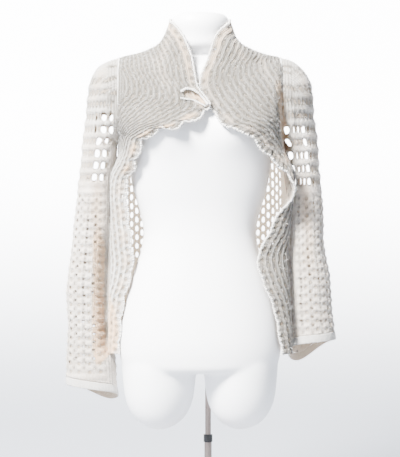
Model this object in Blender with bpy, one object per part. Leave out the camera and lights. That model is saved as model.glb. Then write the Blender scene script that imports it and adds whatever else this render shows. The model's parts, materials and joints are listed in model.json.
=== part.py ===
"""Openwork ivory cardigan on a limbless dress form with its pole and round base, at full size.

Metres, +Z up. The origin is under the middle of the base plate, on the pole's axis, and the
cardigan's front faces -Y. The tables are in millimetres: x and y from the form's own centre
line, with -y to the front, and heights above the floor.
"""
import math

import bmesh
import bpy
import numpy as np

MM = 0.001

# The form's centre line stands in front of the pole, which enters the form behind its middle.
FORM_X = -17.2
FORM_Y = -66.0
FORM_POWER = 2.2
FORM_SIDES = 26

# Seams keep this gap, and every cloth wall this thickness.
SEAM_GAP = 0.3
CLOTH = 3.0
FORM_CLEARANCE = 6.0

# The form's torso: height, half width, front depth, back depth.
TORSO = (
    (349, 100, 70, 80),
    (353, 140, 88, 98),
    (361, 159, 96, 108),
    (375, 166, 100, 114),
    (404, 169, 104, 119),
    (435, 168, 103, 121),
    (477, 162, 99, 117),
    (519, 151, 94, 107),
    (561, 139, 88, 94),
    (603, 124, 82, 81),
    (641, 118, 79, 74),
    (683, 126, 82, 76),
    (729, 140, 92, 83),
    (782, 149, 105, 91),
    (830, 156, 114, 97),
    (866, 165, 112, 99),
    (908, 174, 99, 95),
    (940, 177, 88, 88),
    (970, 175, 78, 80),
    (987, 162, 66, 70),
    (998, 145, 50, 56),
    (1013.7, 118, 28, 32),
    (1018, 82, 38, 44),
    (1028, 65, 52, 56),
    (1045, 57, 55, 57),
    (1094, 55.5, 54, 56),
    (1098, 51, 50, 52),
)
BUST_X, BUST_HEIGHT = 70, 848
BUST_WIDTH, BUST_TALL, BUST_OUT = 44, 46, 15
BUST_FADE = 60

# Each thigh stub ends in a rounded tip: height, half width, half depth.
THIGH = (
    (400, 77, 84),
    (360, 78, 87),
    (324, 75.5, 83),
    (300, 72.5, 78),
    (280, 67.5, 71),
    (262, 59, 62),
    (247, 47, 50),
    (236, 32, 35),
    (228, 12, 13),
)
THIGH_X = 85.5
THIGH_Y = 4.0
THIGH_SIDES = 18

# Pole, clamp collar, lower tube and base.
BASE_RADIUS, BASE_THICK, BASE_EDGE = 160, 8, 2
HUB_RADIUS, HUB_HEIGHT = 19, 18
TUBE_RADIUS, TUBE_TOP = 8.0, 191.7
POLE_RADIUS, POLE_BOTTOM, POLE_TOP = 6.35, 30, 412
BORE_RADIUS = 6.65
COLLAR_RADIUS, COLLAR_BOTTOM, COLLAR_TOP = 9.6, 192, 208.4
SOCKET_FLOOR, SOCKET_TOP = 300, 412.3

# The cardigan's hollow body, inside of the cloth: height, half width, front depth, back depth.
HULL = (
    (380, 205, 112, 134),
    (440, 205, 112, 136),
    (520, 203, 108, 130),
    (603, 200, 102, 122),
    (683, 200, 108, 116),
    (729, 201, 116, 115),
    (782, 204, 124, 114),
    (830, 208, 130, 113),
    (866, 211, 127, 112),
    (908, 213, 112, 108),
    (940, 212, 99, 102),
    (970, 207, 88, 94),
    (989, 197, 80, 87),
    (1001, 176, 75, 83),
    (1010, 148, 72, 79),
    (1019, 118, 70, 76),
    (1030, 96, 69, 73),
    (1042, 88, 68, 72),
    (1085, 84, 67, 70),
)
HULL_POWER = 2.5

# The armhole is a plane ring at each side.
ARMHOLE_X, ARMHOLE_Y = 168.0, 2.0
ARMHOLE_TOP, ARMHOLE_BOTTOM = 1004.0, 836.0
ARMHOLE_DEPTH = 68.0
# The back's side stays by the armhole down to this far below it.
ARMHOLE_EASE = 6.0

# Shoulder seam from the collar to the armhole: x, height.
SHOULDER = ((76, 1038), (84, 1032), (94, 1026), (110, 1020), (130, 1014), (150, 1009), (168, 1004))
SIDE_SEAM_Y = 10.0
# Between these heights the back's side edge runs from the armhole to the side seam.
SIDE_EASE_TOP, SIDE_EASE_BOTTOM = 836.0, 790.0
HEM_HEIGHT = 389.0

# Front panels, from the collar down: position along the front, then the free edge's x, y and
# height, then the seamed side's x, y and height.
FRONT_LEFT = (
    (0.00, -61, -1, 1084, -76, -1, 1038),
    (0.025, -60, -18, 1079, -79, -1, 1035),
    (0.05, -55, -36, 1072, -84, -1, 1032),
    (0.10, -45, -52, 1058, -94, -1, 1026),
    (0.16, -35, -64, 1042, -110, -1, 1020),
    (0.23, -27, -74, 1022, -130, -1, 1014),
    (0.30, -19, -80, 1000, -150, -1, 1009),
    (0.37, -14, -88, 970, -166, -1, 1004),
    (0.44, -9, -99, 938, -168, -41, 985),
    (0.51, 6, -116, 912, -168, -58, 960),
    (0.58, 9, -127, 888, -168, -65.5, 930),
    (0.64, -14, -132, 871, -168, -64.6, 903),
    (0.70, -40, -141, 857, -168, -58, 880),
    (0.76, -68, -138, 853, -168, -46, 861),
    (0.82, -94, -128, 845, -168, -32, 847),
    (0.88, -117, -112, 829, -168, -13, 838),
    (0.94, -129, -96, 806, -169, 4, 815),
    (1.00, -133, -84, 786, -171, 8, 790),
    (1.08, -146, -62, 764, -174, 10, 764),
    (1.18, -155, -46, 736, -176, 10, 736),
    (1.30, -155, -38, 694, -177, 10, 694),
    (1.50, -149, -36, 630, -177, 10, 630),
    (1.70, -156, -34, 555, -177, 10, 555),
    (1.86, -169, -30, 490, -178, 10, 490),
    (2.00, -172, -28, 389, -178, 10, 389),
)
FRONT_RIGHT = (
    (0.00, 61, -1, 1084, 76, -1, 1038),
    (0.025, 60, -19, 1078, 79, -1, 1035),
    (0.05, 55, -38, 1069, 84, -1, 1032),
    (0.10, 43, -53, 1057, 94, -1, 1026),
    (0.16, 32, -66, 1040, 110, -1, 1020),
    (0.23, 24, -75, 1014, 130, -1, 1014),
    (0.30, 17, -81, 988, 150, -1, 1009),
    (0.37, 12, -90, 958, 166, -1, 1004),
    (0.44, 12, -99, 928, 168, -41, 985),
    (0.51, 22, -110, 896, 168, -58, 960),
    (0.58, 41, -124, 871, 168, -65.5, 930),
    (0.64, 60, -133, 853, 168, -64.6, 903),
    (0.70, 85, -136, 847, 168, -58, 880),
    (0.76, 109, -128, 832, 168, -46, 861),
    (0.82, 132, -116, 806, 168, -32, 847),
    (0.88, 156, -106, 784, 169, -13, 838),
    (0.94, 178, -100, 761, 171, 4, 818),
    (0.97, 187, -97, 747, 172, 6, 801),
    (1.00, 192, -91, 730, 173, 8, 784),
    (1.08, 179, -72, 703, 175, 10, 732),
    (1.18, 164, -62, 682, 176, 10, 690),
    (1.30, 149, -61, 648, 177, 10, 652),
    (1.50, 122, -60, 589, 177, 10, 600),
    (1.70, 133, -62, 538, 177, 10, 540),
    (1.86, 156, -56, 480, 178, 10, 480),
    (2.00, 173, -46, 389, 178, 10, 389),
)
ROW_POWER = 2.0
FRONT_RIBS = 5
RIB_RAISE = 1.6

# Sleeves from the armhole to the cuff: position along the sleeve, then the outer side's x and
# height, the inner side's x and height, half the depth, and the middle's y.
SLEEVE_RIGHT = (
    (0, 168.3, 1004, 168.3, 836, 68, 2),
    (28, 193, 998, 173, 829, 68, 2),
    (56, 216, 979, 178, 821, 65, 2),
    (84, 231, 949, 182, 811, 60, 3),
    (112, 236, 913, 185, 797, 55, 4),
    (140, 238, 882, 186, 780, 51, 5),
    (180, 244, 838, 187, 755, 48, 7),
    (240, 250, 773, 187, 712, 45, 10),
    (310, 256, 702, 187, 655, 43, 13),
    (400, 261, 610, 187, 575, 42, 16),
    (480, 273, 532, 188, 505, 43, 18),
    (540, 277, 474, 189, 455, 44, 20),
    (585, 282, 432, 189, 424, 45, 22),
)
SLEEVE_LEFT = (
    (0, -168.3, 1004, -168.3, 836, 68, 2),
    (28, -193, 997, -173, 829, 68, 2),
    (56, -217, 979, -178, 821, 65, 2),
    (84, -231, 950, -182, 811, 60, 3),
    (112, -235, 913, -185, 797, 55, 4),
    (140, -237, 882, -186, 780, 51, 5),
    (180, -244, 836, -187, 755, 48, 7),
    (240, -250, 773, -187, 712, 46, 10),
    (310, -258, 702, -187, 655, 45, 13),
    (400, -268, 610, -187, 575, 45, 16),
    (480, -278, 530, -187, 500, 46, 18),
    (560, -277, 450, -184, 425, 48, 20),
    (640, -279, 372, -180, 356, 49, 22),
    (674, -280, 338, -177, 324, 49, 22),
)
# The hem hangs lower at the back and inner side: how far, and over what length of the sleeve.
HEM_DROP_RIGHT, HEM_DROP_LEFT = 42.0, 24.0
HEM_DROP_LENGTH = 110.0
HEM_DROP_ANGLE, HEM_DROP_SPREAD = 235.0, 62.0
CUFF_TALL, CUFF_THICK = 17.0, 3.6

# Lace: holes along the upper sleeve, and smaller eyelets further down.
LACE_START, HOLE_TALL, STRAND_TALL, LACE_ROWS = 128.0, 15.0, 9.0, 7
TOP_ROWS, HEM_PLAIN = 5, 12.0
EYELET_TALL, EYELET_ROWS = 8.0, 4
# Angles round the sleeve, from its outer line to its inner one, for columns of the front half.
# A column is lace, plain, or one ridge of the ribbed strip.
FRONT_COLUMNS = (
    (0, "plain"), (28, "plain"), (48, "lace"), (63, "plain"), (71, "lace"), (86, "plain"),
    (94, "lace"), (109, "plain"), (117, "lace"), (132, "plain"), (138, "rib"), (143, "plain"),
    (148, "rib"), (153, "plain"), (158, "rib"), (163, "plain"), (180, "end"),
)
BACK_COLUMNS = (
    (0, "plain"), (28, "plain"), (48, "lace"), (63, "plain"), (71, "lace"), (86, "plain"),
    (94, "lace"), (109, "plain"), (117, "lace"), (132, "plain"), (155, "plain"), (180, "end"),
)
# A deep fold runs down the front of the left sleeve: start, end, angle, depth and width.
FOLD_START, FOLD_END, FOLD_ANGLE = 330.0, 640.0, 120.0
FOLD_DEPTH, FOLD_WIDTH, FOLD_FADE = 17.0, 19.0, 90.0

LACE_ANGLES = tuple(angle for angle, kind in FRONT_COLUMNS if kind == "lace")

# Back panel: its columns from the middle (0) to the side seam (1), and the lace at both sides.
BACK_COLUMNS_HALF = (0.0, 0.18, 0.32, 0.39, 0.44, 0.50, 0.60, 0.66, 0.74, 0.80, 0.90, 1.0)
BACK_LACE_COLUMNS = (6, 8)
BACK_LACE_TOP, BACK_LACE_ROWS = 806.0, 7
BACK_YOKE_HEIGHT, BACK_YOKE_ROWS = 955.0, 4
# From this part of its columns outwards the yoke bends to the armhole.
YOKE_BEND_PART = 0.75
BACK_ROWS_BESIDE, BACK_ROWS_BELOW = 4, 4
# Its side edge: height and x, then the part of its columns that the neckline takes.
BACK_WIDTH = ((380, 178), (640, 177), (720, 176), (790, 172), (836, 168), (1004, 168))
NECK_PART, NECK_WIDTH, NECK_DEPTH, NECK_HEIGHT = 0.44, 76.0, 72.0, 1038.0

# Edging: a rolled crochet cord that swells and narrows.
EDGING_RADIUS, EDGING_SIDES, EDGING_SWELL = 2.6, 5, 0.7

COLLAR_ROWS, COLLAR_COLUMNS = 3, 16
COLLAR_BACK_TOP, COLLAR_TOP_WIDTH, COLLAR_TOP_DEPTH = 1084.0, 61.0, 66.0

IVORY = (0.83, 0.80, 0.75, 1.0)
FORM_WHITE = (0.90, 0.91, 0.93, 1.0)
POLE_METAL = (0.62, 0.58, 0.54, 1.0)
CLAMP_BLACK = (0.02, 0.02, 0.02, 1.0)


def new_material(name, colour, roughness, metallic=0.0):
    """Return a Principled material."""
    material = bpy.data.materials.new(name)
    material.use_nodes = True
    shader = material.node_tree.nodes["Principled BSDF"]
    shader.inputs["Base Color"].default_value = colour
    shader.inputs["Roughness"].default_value = roughness
    shader.inputs["Metallic"].default_value = metallic
    return material


def smooth_table(rows, where):
    """Read a table as smooth curves: the first column is the position, the others follow it."""
    table = np.array(rows, dtype=float)
    place, values = table[:, 0], table[:, 1:]
    slope = np.gradient(values, place, axis=0)
    where = np.clip(np.asarray(where, dtype=float), place[0], place[-1])
    low = np.clip(np.searchsorted(place, where) - 1, 0, len(place) - 2)
    span = place[low + 1] - place[low]
    t = ((where - place[low]) / span)[..., None]
    span = span[..., None]
    return (values[low] * (1 + 2 * t) * (1 - t) ** 2
            + slope[low] * span * t * (1 - t) ** 2
            + values[low + 1] * t ** 2 * (3 - 2 * t)
            + slope[low + 1] * span * t ** 2 * (t - 1))


def soft_step(value, low, high):
    """Rise smoothly from 0 at low to 1 at high."""
    t = np.clip((value - low) / (high - low), 0.0, 1.0)
    return t * t * (3 - 2 * t)


def add_object(name, points, faces, material, smooth=True):
    """Make one closed object from points in the form's millimetres."""
    mesh = bpy.data.meshes.new(name)
    shift = np.array((FORM_X, FORM_Y, 0.0))
    mesh.from_pydata(((np.asarray(points) + shift) * MM).tolist(), [], faces)
    shape = bmesh.new()
    shape.from_mesh(mesh)
    loose = [vertex for vertex in shape.verts if not vertex.link_faces]
    bmesh.ops.delete(shape, geom=loose, context="VERTS")
    bmesh.ops.recalc_face_normals(shape, faces=shape.faces)
    if shape.calc_volume(signed=True) < 0:
        bmesh.ops.reverse_faces(shape, faces=shape.faces)
    shape.to_mesh(mesh)
    shape.free()
    mesh.materials.append(material)
    if smooth:
        mesh.shade_smooth()
        mesh.set_sharp_from_angle(angle=math.radians(50))
    piece = bpy.data.objects.new(name, mesh)
    bpy.context.collection.objects.link(piece)
    return piece


def loft(name, rings, material):
    """Close a stack of rings with a flat cap at each end."""
    count = len(rings[0])
    points = np.concatenate(rings)
    faces = []
    for row in range(len(rings) - 1):
        for side in range(count):
            ahead = (side + 1) % count
            faces.append((row * count + side, row * count + ahead,
                          (row + 1) * count + ahead, (row + 1) * count + side))
    faces.append(tuple(range(count)))
    faces.append(tuple(range((len(rings) - 1) * count, len(rings) * count)))
    return add_object(name, points, faces, material)


def oval(half_width, front, back, height, power, sides, x=0.0, y=0.0):
    """Return one level ring, a rounded box whose corners the power sets."""
    angle = np.arange(sides) * 2 * math.pi / sides
    across = np.sign(np.cos(angle)) * np.abs(np.cos(angle)) ** (2 / power)
    deep = np.sign(np.sin(angle)) * np.abs(np.sin(angle)) ** (2 / power)
    depth = np.where(deep < 0, front, back)
    return np.stack((x + half_width * across, y + depth * deep, np.full(sides, float(height))), 1)


def bust(x, height):
    """Return how far the bust stands out at a place on the form's front."""
    tall = np.exp(-((height - BUST_HEIGHT) / BUST_TALL) ** 2)
    return BUST_OUT * tall * np.exp(-((np.abs(x) - BUST_X) / BUST_WIDTH) ** 2)


def form_front(x, height):
    """Return the depth of the form's front surface, or 0 beside it."""
    row = smooth_table(TORSO, height)
    left = np.clip(1 - (np.abs(x) / row[..., 0]) ** FORM_POWER, 0, 1)
    depth = row[..., 1] * left ** (1 / FORM_POWER)
    return np.where(left > 0, depth + bust(x, height), 0.0)


def form_back(x, height):
    """Return the depth of the form's back surface, or 0 beside it."""
    row = smooth_table(TORSO, height)
    left = np.clip(1 - (np.abs(x) / row[..., 0]) ** FORM_POWER, 0, 1)
    return row[..., 2] * left ** (1 / FORM_POWER)


def hide_tool(piece):
    """Keep a cutter or a joined part out of the model."""
    piece.hide_render = True
    piece.display_type = "WIRE"


def combine(piece, other, operation):
    """Add a Boolean to a piece."""
    tool = piece.modifiers.new(other.name, "BOOLEAN")
    tool.operation = operation
    tool.solver = "EXACT"
    tool.object = other
    hide_tool(other)


def build_form(material):
    """Build the torso with its neck and two thigh stubs, and the socket for the pole."""
    rings = []
    for height, half_width, front, back in TORSO:
        ring = oval(half_width, front, back, height, FORM_POWER, FORM_SIDES)
        ahead = ring[:, 1] < 0
        ring[ahead, 1] -= bust(ring[ahead, 0], height) * soft_step(-ring[ahead, 1], 0, BUST_FADE)
        rings.append(ring)
    form = loft("form", rings, material)
    for side in (-1, 1):
        stub = loft(f"thigh_{side}", [
            oval(wide, deep, deep, height, 2.0, THIGH_SIDES, side * THIGH_X, THIGH_Y)
            for height, wide, deep in THIGH], material)
        combine(form, stub, "UNION")
    socket = loft("socket", [round_ring(BORE_RADIUS, height) for height in (SOCKET_FLOOR, SOCKET_TOP)],
                  material)
    combine(form, socket, "DIFFERENCE")


def round_ring(radius, height, sides=16):
    """Return a circle round the pole's axis."""
    return oval(radius, radius, radius, height, 2.0, sides, -FORM_X, -FORM_Y)


def solid_turned(name, profile, material, sides=16):
    """Turn a solid round the pole's axis from rows of radius and height."""
    return loft(name, [round_ring(radius, height, sides) for radius, height in profile], material)


def hollow_turned(name, profile, material, sides=16):
    """Turn a ring round the pole's axis from a closed outline of radius and height."""
    rings = [round_ring(radius, height, sides) for radius, height in profile]
    faces = []
    for row in range(len(rings)):
        for side in range(sides):
            ahead, below = (side + 1) % sides, (row + 1) % len(rings)
            faces.append((row * sides + side, row * sides + ahead,
                          below * sides + ahead, below * sides + side))
    return add_object(name, np.concatenate(rings), faces, material)


def build_stand(metal, black):
    """Build the base plate, hub, lower tube, pole and clamp collar."""
    solid_turned("base_plate", (
        (BASE_RADIUS - BASE_EDGE, 0), (BASE_RADIUS, BASE_EDGE), (BASE_RADIUS, BASE_THICK - BASE_EDGE),
        (BASE_RADIUS - BASE_EDGE, BASE_THICK)), metal, sides=36)
    seat = BASE_THICK + SEAM_GAP
    hub_bore = TUBE_RADIUS + SEAM_GAP
    hollow_turned("hub", ((hub_bore, seat), (HUB_RADIUS, seat), (HUB_RADIUS, seat + HUB_HEIGHT - 2),
                          (HUB_RADIUS - 2, seat + HUB_HEIGHT), (hub_bore, seat + HUB_HEIGHT)), metal)
    hollow_turned("lower_tube", ((BORE_RADIUS, seat), (TUBE_RADIUS, seat), (TUBE_RADIUS, TUBE_TOP),
                                 (BORE_RADIUS, TUBE_TOP)), metal)
    solid_turned("pole", ((POLE_RADIUS, POLE_BOTTOM), (POLE_RADIUS, POLE_TOP)), metal)
    hollow_turned("clamp_collar", ((BORE_RADIUS, COLLAR_BOTTOM), (COLLAR_RADIUS, COLLAR_BOTTOM),
                                   (COLLAR_RADIUS, COLLAR_TOP), (BORE_RADIUS, COLLAR_TOP)), black)


def outward_of(points, flip, closed=False):
    """Return unit vectors square to a grid of points."""
    down = np.gradient(points, axis=0)
    if closed:
        across = (np.roll(points, -1, axis=1) - np.roll(points, 1, axis=1)) / 2
    else:
        across = np.gradient(points, axis=1)
    normal = np.cross(across, down) * flip
    return normal / np.maximum(np.linalg.norm(normal, axis=2, keepdims=True), 1e-9)


def keep_side(inner, outer, cells, axis, limit, side):
    """Shift a border of both faces so that it stays on one side of its seam's plane."""
    for row, column in cells:
        near = min(side * inner[row, column, axis], side * outer[row, column, axis])
        shift = side * max(0.0, side * limit - near)
        inner[row, column, axis] += shift
        outer[row, column, axis] += shift


def wall(name, inner, outer, material, holes=(), closed=False):
    """Make a cloth wall between two grids of points, with whole cells left out as holes."""
    rows, columns = inner.shape[:2]
    cells_across = columns if closed else columns - 1
    holes = set(holes)

    def present(row, column):
        inside = 0 <= row < rows - 1 and (closed or 0 <= column < cells_across)
        return inside and (row, column % cells_across) not in holes

    def number(row, column, face):
        return face * rows * columns + row * columns + column % columns

    faces = []
    for row in range(rows - 1):
        for column in range(cells_across):
            if not present(row, column):
                continue
            corner = ((row, column), (row, column + 1), (row + 1, column + 1), (row + 1, column))
            for half in ((0, 1, 2), (0, 2, 3)):
                faces.append(tuple(number(*corner[place], 0) for place in half))
                faces.append(tuple(number(*corner[place], 1) for place in reversed(half)))
            beside = ((row - 1, column), (row, column + 1), (row + 1, column), (row, column - 1))
            for side, (next_row, next_column) in enumerate(beside):
                if not present(next_row, next_column):
                    start, end = corner[side], corner[(side + 1) % 4]
                    faces.append((number(*start, 1), number(*end, 1),
                                  number(*end, 0), number(*start, 0)))
    points = np.concatenate((inner.reshape(-1, 3), outer.reshape(-1, 3)))
    return add_object(name, points, faces, material)


def front_surface(rows, places, parts):
    """Return the inside of a front panel, from its free edge (part 0) to its seam (part 1)."""
    table = smooth_table(rows, places)[:, None, :]
    edge, seam = table[..., 0:3], table[..., 3:6]
    angle = np.asarray(parts)[None, :] * math.pi / 2
    across = np.sin(angle) ** (2 / ROW_POWER)
    ahead = np.clip(np.cos(angle), 0, 1) ** (2 / ROW_POWER)
    x = edge[..., 0] + (seam[..., 0] - edge[..., 0]) * across
    height = edge[..., 2] + (seam[..., 2] - edge[..., 2]) * across
    y = seam[..., 1] + (edge[..., 1] - seam[..., 1]) * ahead
    clear = form_front(x, height)
    y = np.where(clear > 0, np.minimum(y, -clear - FORM_CLEARANCE), y)
    return np.stack((x, y, height), axis=2)


def build_front(name, rows, side, material):
    """Build one front panel with its collar, with slanting ribs raised on the outside."""
    places = np.array([row[0] for row in rows])
    parts = np.linspace(0, 1, 2 * FRONT_RIBS + 1)
    inner = front_surface(rows, places, parts)
    outward = outward_of(inner, side)
    outward[0] = outward[1] * (1, 0, 1) / np.linalg.norm(outward[1] * (1, 0, 1), axis=1)[:, None]
    raise_by = np.where(np.arange(len(parts)) % 2 == 1, RIB_RAISE, 0.0)
    outer = inner + outward * (CLOTH + raise_by)[None, :, None]
    seam = len(parts) - 1
    armhole_rows = [row for row in range(len(rows)) if abs(rows[row][4]) == ARMHOLE_X]
    shoulder_rows = [row for row in range(armhole_rows[0])]
    side_rows = [row for row in range(armhole_rows[-1], len(rows))]
    top = [(0, column) for column in range(len(parts))]
    keep_side(inner, outer, top + [(row, seam) for row in shoulder_rows], 1, -SEAM_GAP / 2, -1)
    by_armhole = [(row, column) for row in [armhole_rows[0] - 1] + armhole_rows + [side_rows[1]]
                  for column in (seam - 3, seam - 2, seam - 1, seam)]
    keep_side(inner, outer, by_armhole, 0, side * (ARMHOLE_X - SEAM_GAP / 2), -side)
    keep_side(inner, outer, [(row, seam) for row in side_rows], 1, SIDE_SEAM_Y - SEAM_GAP / 2, -1)
    wall(name, inner, outer, material)
    return inner, outer


def armhole_back(height):
    """Return the y of the armhole's back edge at a height."""
    middle = (ARMHOLE_TOP + ARMHOLE_BOTTOM) / 2
    reach = (height - middle) / (ARMHOLE_TOP - middle)
    return ARMHOLE_Y + ARMHOLE_DEPTH * np.sqrt(np.clip(1 - reach ** 2, 0, 1))


def back_row(parts, height):
    """Return one level row of the back, an arc from side to side round the form."""
    width = smooth_table(BACK_WIDTH, height)[0]
    depth = smooth_table(HULL, height)[2]
    ease = soft_step(-height, -SIDE_EASE_TOP, -SIDE_EASE_BOTTOM)
    side_y = max(armhole_back(height), SIDE_SEAM_Y * ease)
    angle = np.abs(parts) * math.pi / 2
    x = np.sign(parts) * width * np.sin(angle) ** (2 / HULL_POWER)
    y = side_y + (depth - side_y) * np.clip(np.cos(angle), 0, 1) ** (2 / HULL_POWER)
    return np.stack((x, y, np.full(len(parts), float(height))), 1)


def back_top(parts):
    """Return the back's top edge: the neckline in the middle and a shoulder at each side."""
    around = np.clip(np.abs(parts) / NECK_PART, 0, 1) * math.pi / 2
    out = np.clip((np.abs(parts) - NECK_PART) / (1 - NECK_PART), 0, 1)
    x = np.where(out > 0, NECK_WIDTH + (ARMHOLE_X - NECK_WIDTH) * out, NECK_WIDTH * np.sin(around))
    y = np.where(out > 0, SEAM_GAP / 2, NECK_DEPTH * np.cos(around) + SEAM_GAP / 2)
    height = np.where(out > 0, smooth_table(SHOULDER, x)[:, 0], NECK_HEIGHT)
    return np.stack((np.sign(parts) * x, y, height), 1)


def build_back(material):
    """Build the back panel, with lace at both sides of the waist."""
    half = np.array(BACK_COLUMNS_HALF)
    parts = np.concatenate((-half[:0:-1], half))
    last, centre = len(parts) - 1, len(half) - 1
    top, yoke = back_top(parts), back_row(parts, BACK_YOKE_HEIGHT)
    grid = []
    for row in range(BACK_YOKE_ROWS):
        turn = row / BACK_YOKE_ROWS * math.pi / 2
        out, down = math.sin(turn) ** (2 / ROW_POWER), math.cos(turn) ** (2 / ROW_POWER)
        line = top + (yoke - top) * out
        line[:, 2] = yoke[:, 2] + (top[:, 2] - yoke[:, 2]) * down
        near = soft_step(np.abs(parts), YOKE_BEND_PART, 1.0)
        line[:, 1] += near * (armhole_back(line[:, 2]) - line[:, 1])
        grid.append(line)
    pitch = HOLE_TALL + STRAND_TALL
    levels = list(np.linspace(BACK_YOKE_HEIGHT, ARMHOLE_BOTTOM, BACK_ROWS_BESIDE))
    first_hole = BACK_YOKE_ROWS + len(levels)
    for row in range(BACK_LACE_ROWS):
        levels += [BACK_LACE_TOP - row * pitch, BACK_LACE_TOP - row * pitch - HOLE_TALL]
    levels += list(np.linspace(levels[-1], HEM_HEIGHT, BACK_ROWS_BELOW + 1)[1:])
    grid += [back_row(parts, level) for level in levels]
    inner = np.array(grid)
    clear = form_back(inner[..., 0], inner[..., 2])
    inner[..., 1] = np.where(clear > 0, np.maximum(inner[..., 1], clear + FORM_CLEARANCE),
                             inner[..., 1])
    outer = inner + outward_of(inner, -1) * CLOTH
    keep_side(inner, outer, [(0, column) for column in range(last + 1)], 1, SEAM_GAP / 2, 1)
    keep_side(inner, outer, [(0, column) for column in range(last + 1)
                             if abs(parts[column]) <= NECK_PART], 2, NECK_HEIGHT, -1)
    rows = range(len(inner))
    for column, side in ((0, -1), (last, 1)):
        beside = [(row, column) for row in rows if inner[row, column, 2] > ARMHOLE_BOTTOM - ARMHOLE_EASE]
        below = [(row, column) for row in rows if inner[row, column, 2] < ARMHOLE_BOTTOM]
        keep_side(inner, outer, beside, 0, side * (ARMHOLE_X - SEAM_GAP / 2), -side)
        keep_side(inner, outer, below, 1, SIDE_SEAM_Y + SEAM_GAP / 2, 1)
    holes = []
    for row in range(BACK_LACE_ROWS):
        for column in BACK_LACE_COLUMNS:
            place = first_hole + 2 * row
            holes += [(place, centre + column), (place, centre - column - 1)]
    wall("back", inner, outer, material, holes)


def build_collar(material):
    """Build the collar's back, which stands round the neck between the two fronts."""
    turn = np.linspace(0, math.pi, COLLAR_COLUMNS + 1)
    grid = []
    for row in range(COLLAR_ROWS + 1):
        part = row / COLLAR_ROWS
        wide = COLLAR_TOP_WIDTH + (NECK_WIDTH - COLLAR_TOP_WIDTH) * part
        deep = COLLAR_TOP_DEPTH + (NECK_DEPTH - COLLAR_TOP_DEPTH) * part
        height = np.full(len(turn), COLLAR_BACK_TOP)
        height += (NECK_HEIGHT + 2 * SEAM_GAP - COLLAR_BACK_TOP) * part
        grid.append(np.stack((wide * np.cos(turn), deep * np.sin(turn), height), 1))
    inner = np.array(grid)
    outer = inner + outward_of(inner, -1) * CLOTH
    ends = [(row, column) for row in range(COLLAR_ROWS + 1) for column in (0, COLLAR_COLUMNS)]
    keep_side(inner, outer, ends, 1, SEAM_GAP / 2, 1)
    wall("collar_back", inner, outer, material)


def sleeve_surface(rows, places, angles, side, drop):
    """Return the inside of a sleeve: rows along it, columns by angle from its outer line."""
    table = smooth_table(rows, places)[:, None, :]
    outer_side, inner_side = table[..., 0:2], table[..., 2:4]
    half_depth, middle_y = table[..., 4], table[..., 5]
    angle = np.radians(np.asarray(angles, dtype=float))[None, :]
    middle, reach = (outer_side + inner_side) / 2, (outer_side - inner_side) / 2
    across = np.cos(angle)
    x = middle[..., 0] + reach[..., 0] * across
    height = middle[..., 1] + reach[..., 1] * across
    y = middle_y - half_depth * np.sin(angle)
    place = np.asarray(places, dtype=float)[:, None]
    end = rows[-1][0]
    low = soft_step(place, end - HEM_DROP_LENGTH, end)
    behind = np.exp(-((np.degrees(angle) - HEM_DROP_ANGLE) / HEM_DROP_SPREAD) ** 2)
    height = height - drop * low * behind
    if side < 0:
        along = soft_step(place, FOLD_START, FOLD_START + FOLD_FADE)
        along = along * (1 - soft_step(place, FOLD_END - FOLD_FADE, FOLD_END))
        trough = np.exp(-((np.degrees(angle) - FOLD_ANGLE) / FOLD_WIDTH) ** 2)
        y = y + FOLD_DEPTH * along * trough
    return np.stack((x, y, height), axis=2)


def sleeve_places(length):
    """Return the rows along a sleeve and which of them start a hole."""
    places = list(np.linspace(0, LACE_START, TOP_ROWS + 1)[:-1])
    holes = []
    for row in range(LACE_ROWS):
        holes.append(len(places))
        start = LACE_START + row * (HOLE_TALL + STRAND_TALL)
        places += [start, start + HOLE_TALL]
    below = LACE_START + LACE_ROWS * (HOLE_TALL + STRAND_TALL)
    pitch = (length - HEM_PLAIN - below) / EYELET_ROWS
    for row in range(EYELET_ROWS):
        if row == EYELET_ROWS - 1:
            places.append(below + (row + 0.5) * pitch)
        holes.append(len(places))
        places += [below + (row + 1) * pitch - EYELET_TALL, below + (row + 1) * pitch]
    places.append(length)
    return np.array(places), holes


def sleeve_ring():
    """Return the angles round a sleeve, and the kind of each column."""
    back = [(360 - angle, kind) for angle, kind in BACK_COLUMNS]
    ring = list(FRONT_COLUMNS) + back[-2:0:-1]
    return np.array([angle for angle, _ in ring], dtype=float), [kind for _, kind in ring]


def build_sleeve(name, rows, side, drop, material):
    """Build a sleeve as a front half and a back half, and its cuff."""
    length = rows[-1][0]
    places, hole_rows = sleeve_places(length)
    around, kinds = sleeve_ring()
    ring = sleeve_surface(rows, places, around, side, drop)
    ridge = np.array([kind == "rib" for kind in kinds])
    thick = np.where(ridge, CLOTH + RIB_RAISE, CLOTH)[None, :, None]
    ring_outer = ring + outward_of(ring, side, closed=True) * thick
    middle_y = smooth_table(rows, places)[:, 5]
    split = len(FRONT_COLUMNS) - 1
    halves = {"front": list(range(split + 1)), "back": list(range(split, len(around))) + [0]}
    for half, columns in halves.items():
        inner, outer = ring[:, columns].copy(), ring_outer[:, columns].copy()
        mouth = [(0, column) for column in range(len(columns))]
        keep_side(inner, outer, mouth, 0, side * (ARMHOLE_X + SEAM_GAP / 2), side)
        edge = -1 if half == "front" else 1
        for row in range(len(places)):
            ends = [(row, 0), (row, len(columns) - 1)]
            keep_side(inner, outer, ends, 1, middle_y[row] + edge * SEAM_GAP / 2, edge)
        holes = [(row, place) for row in hole_rows for place, column in enumerate(columns[:-1])
                 if min(around[column], 360 - around[columns[place + 1]]) in LACE_ANGLES]
        wall(f"{name}_{half}", inner, outer, material, holes)
    build_cuff(name.replace("sleeve", "cuff"), rows, side, drop, material)


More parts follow.
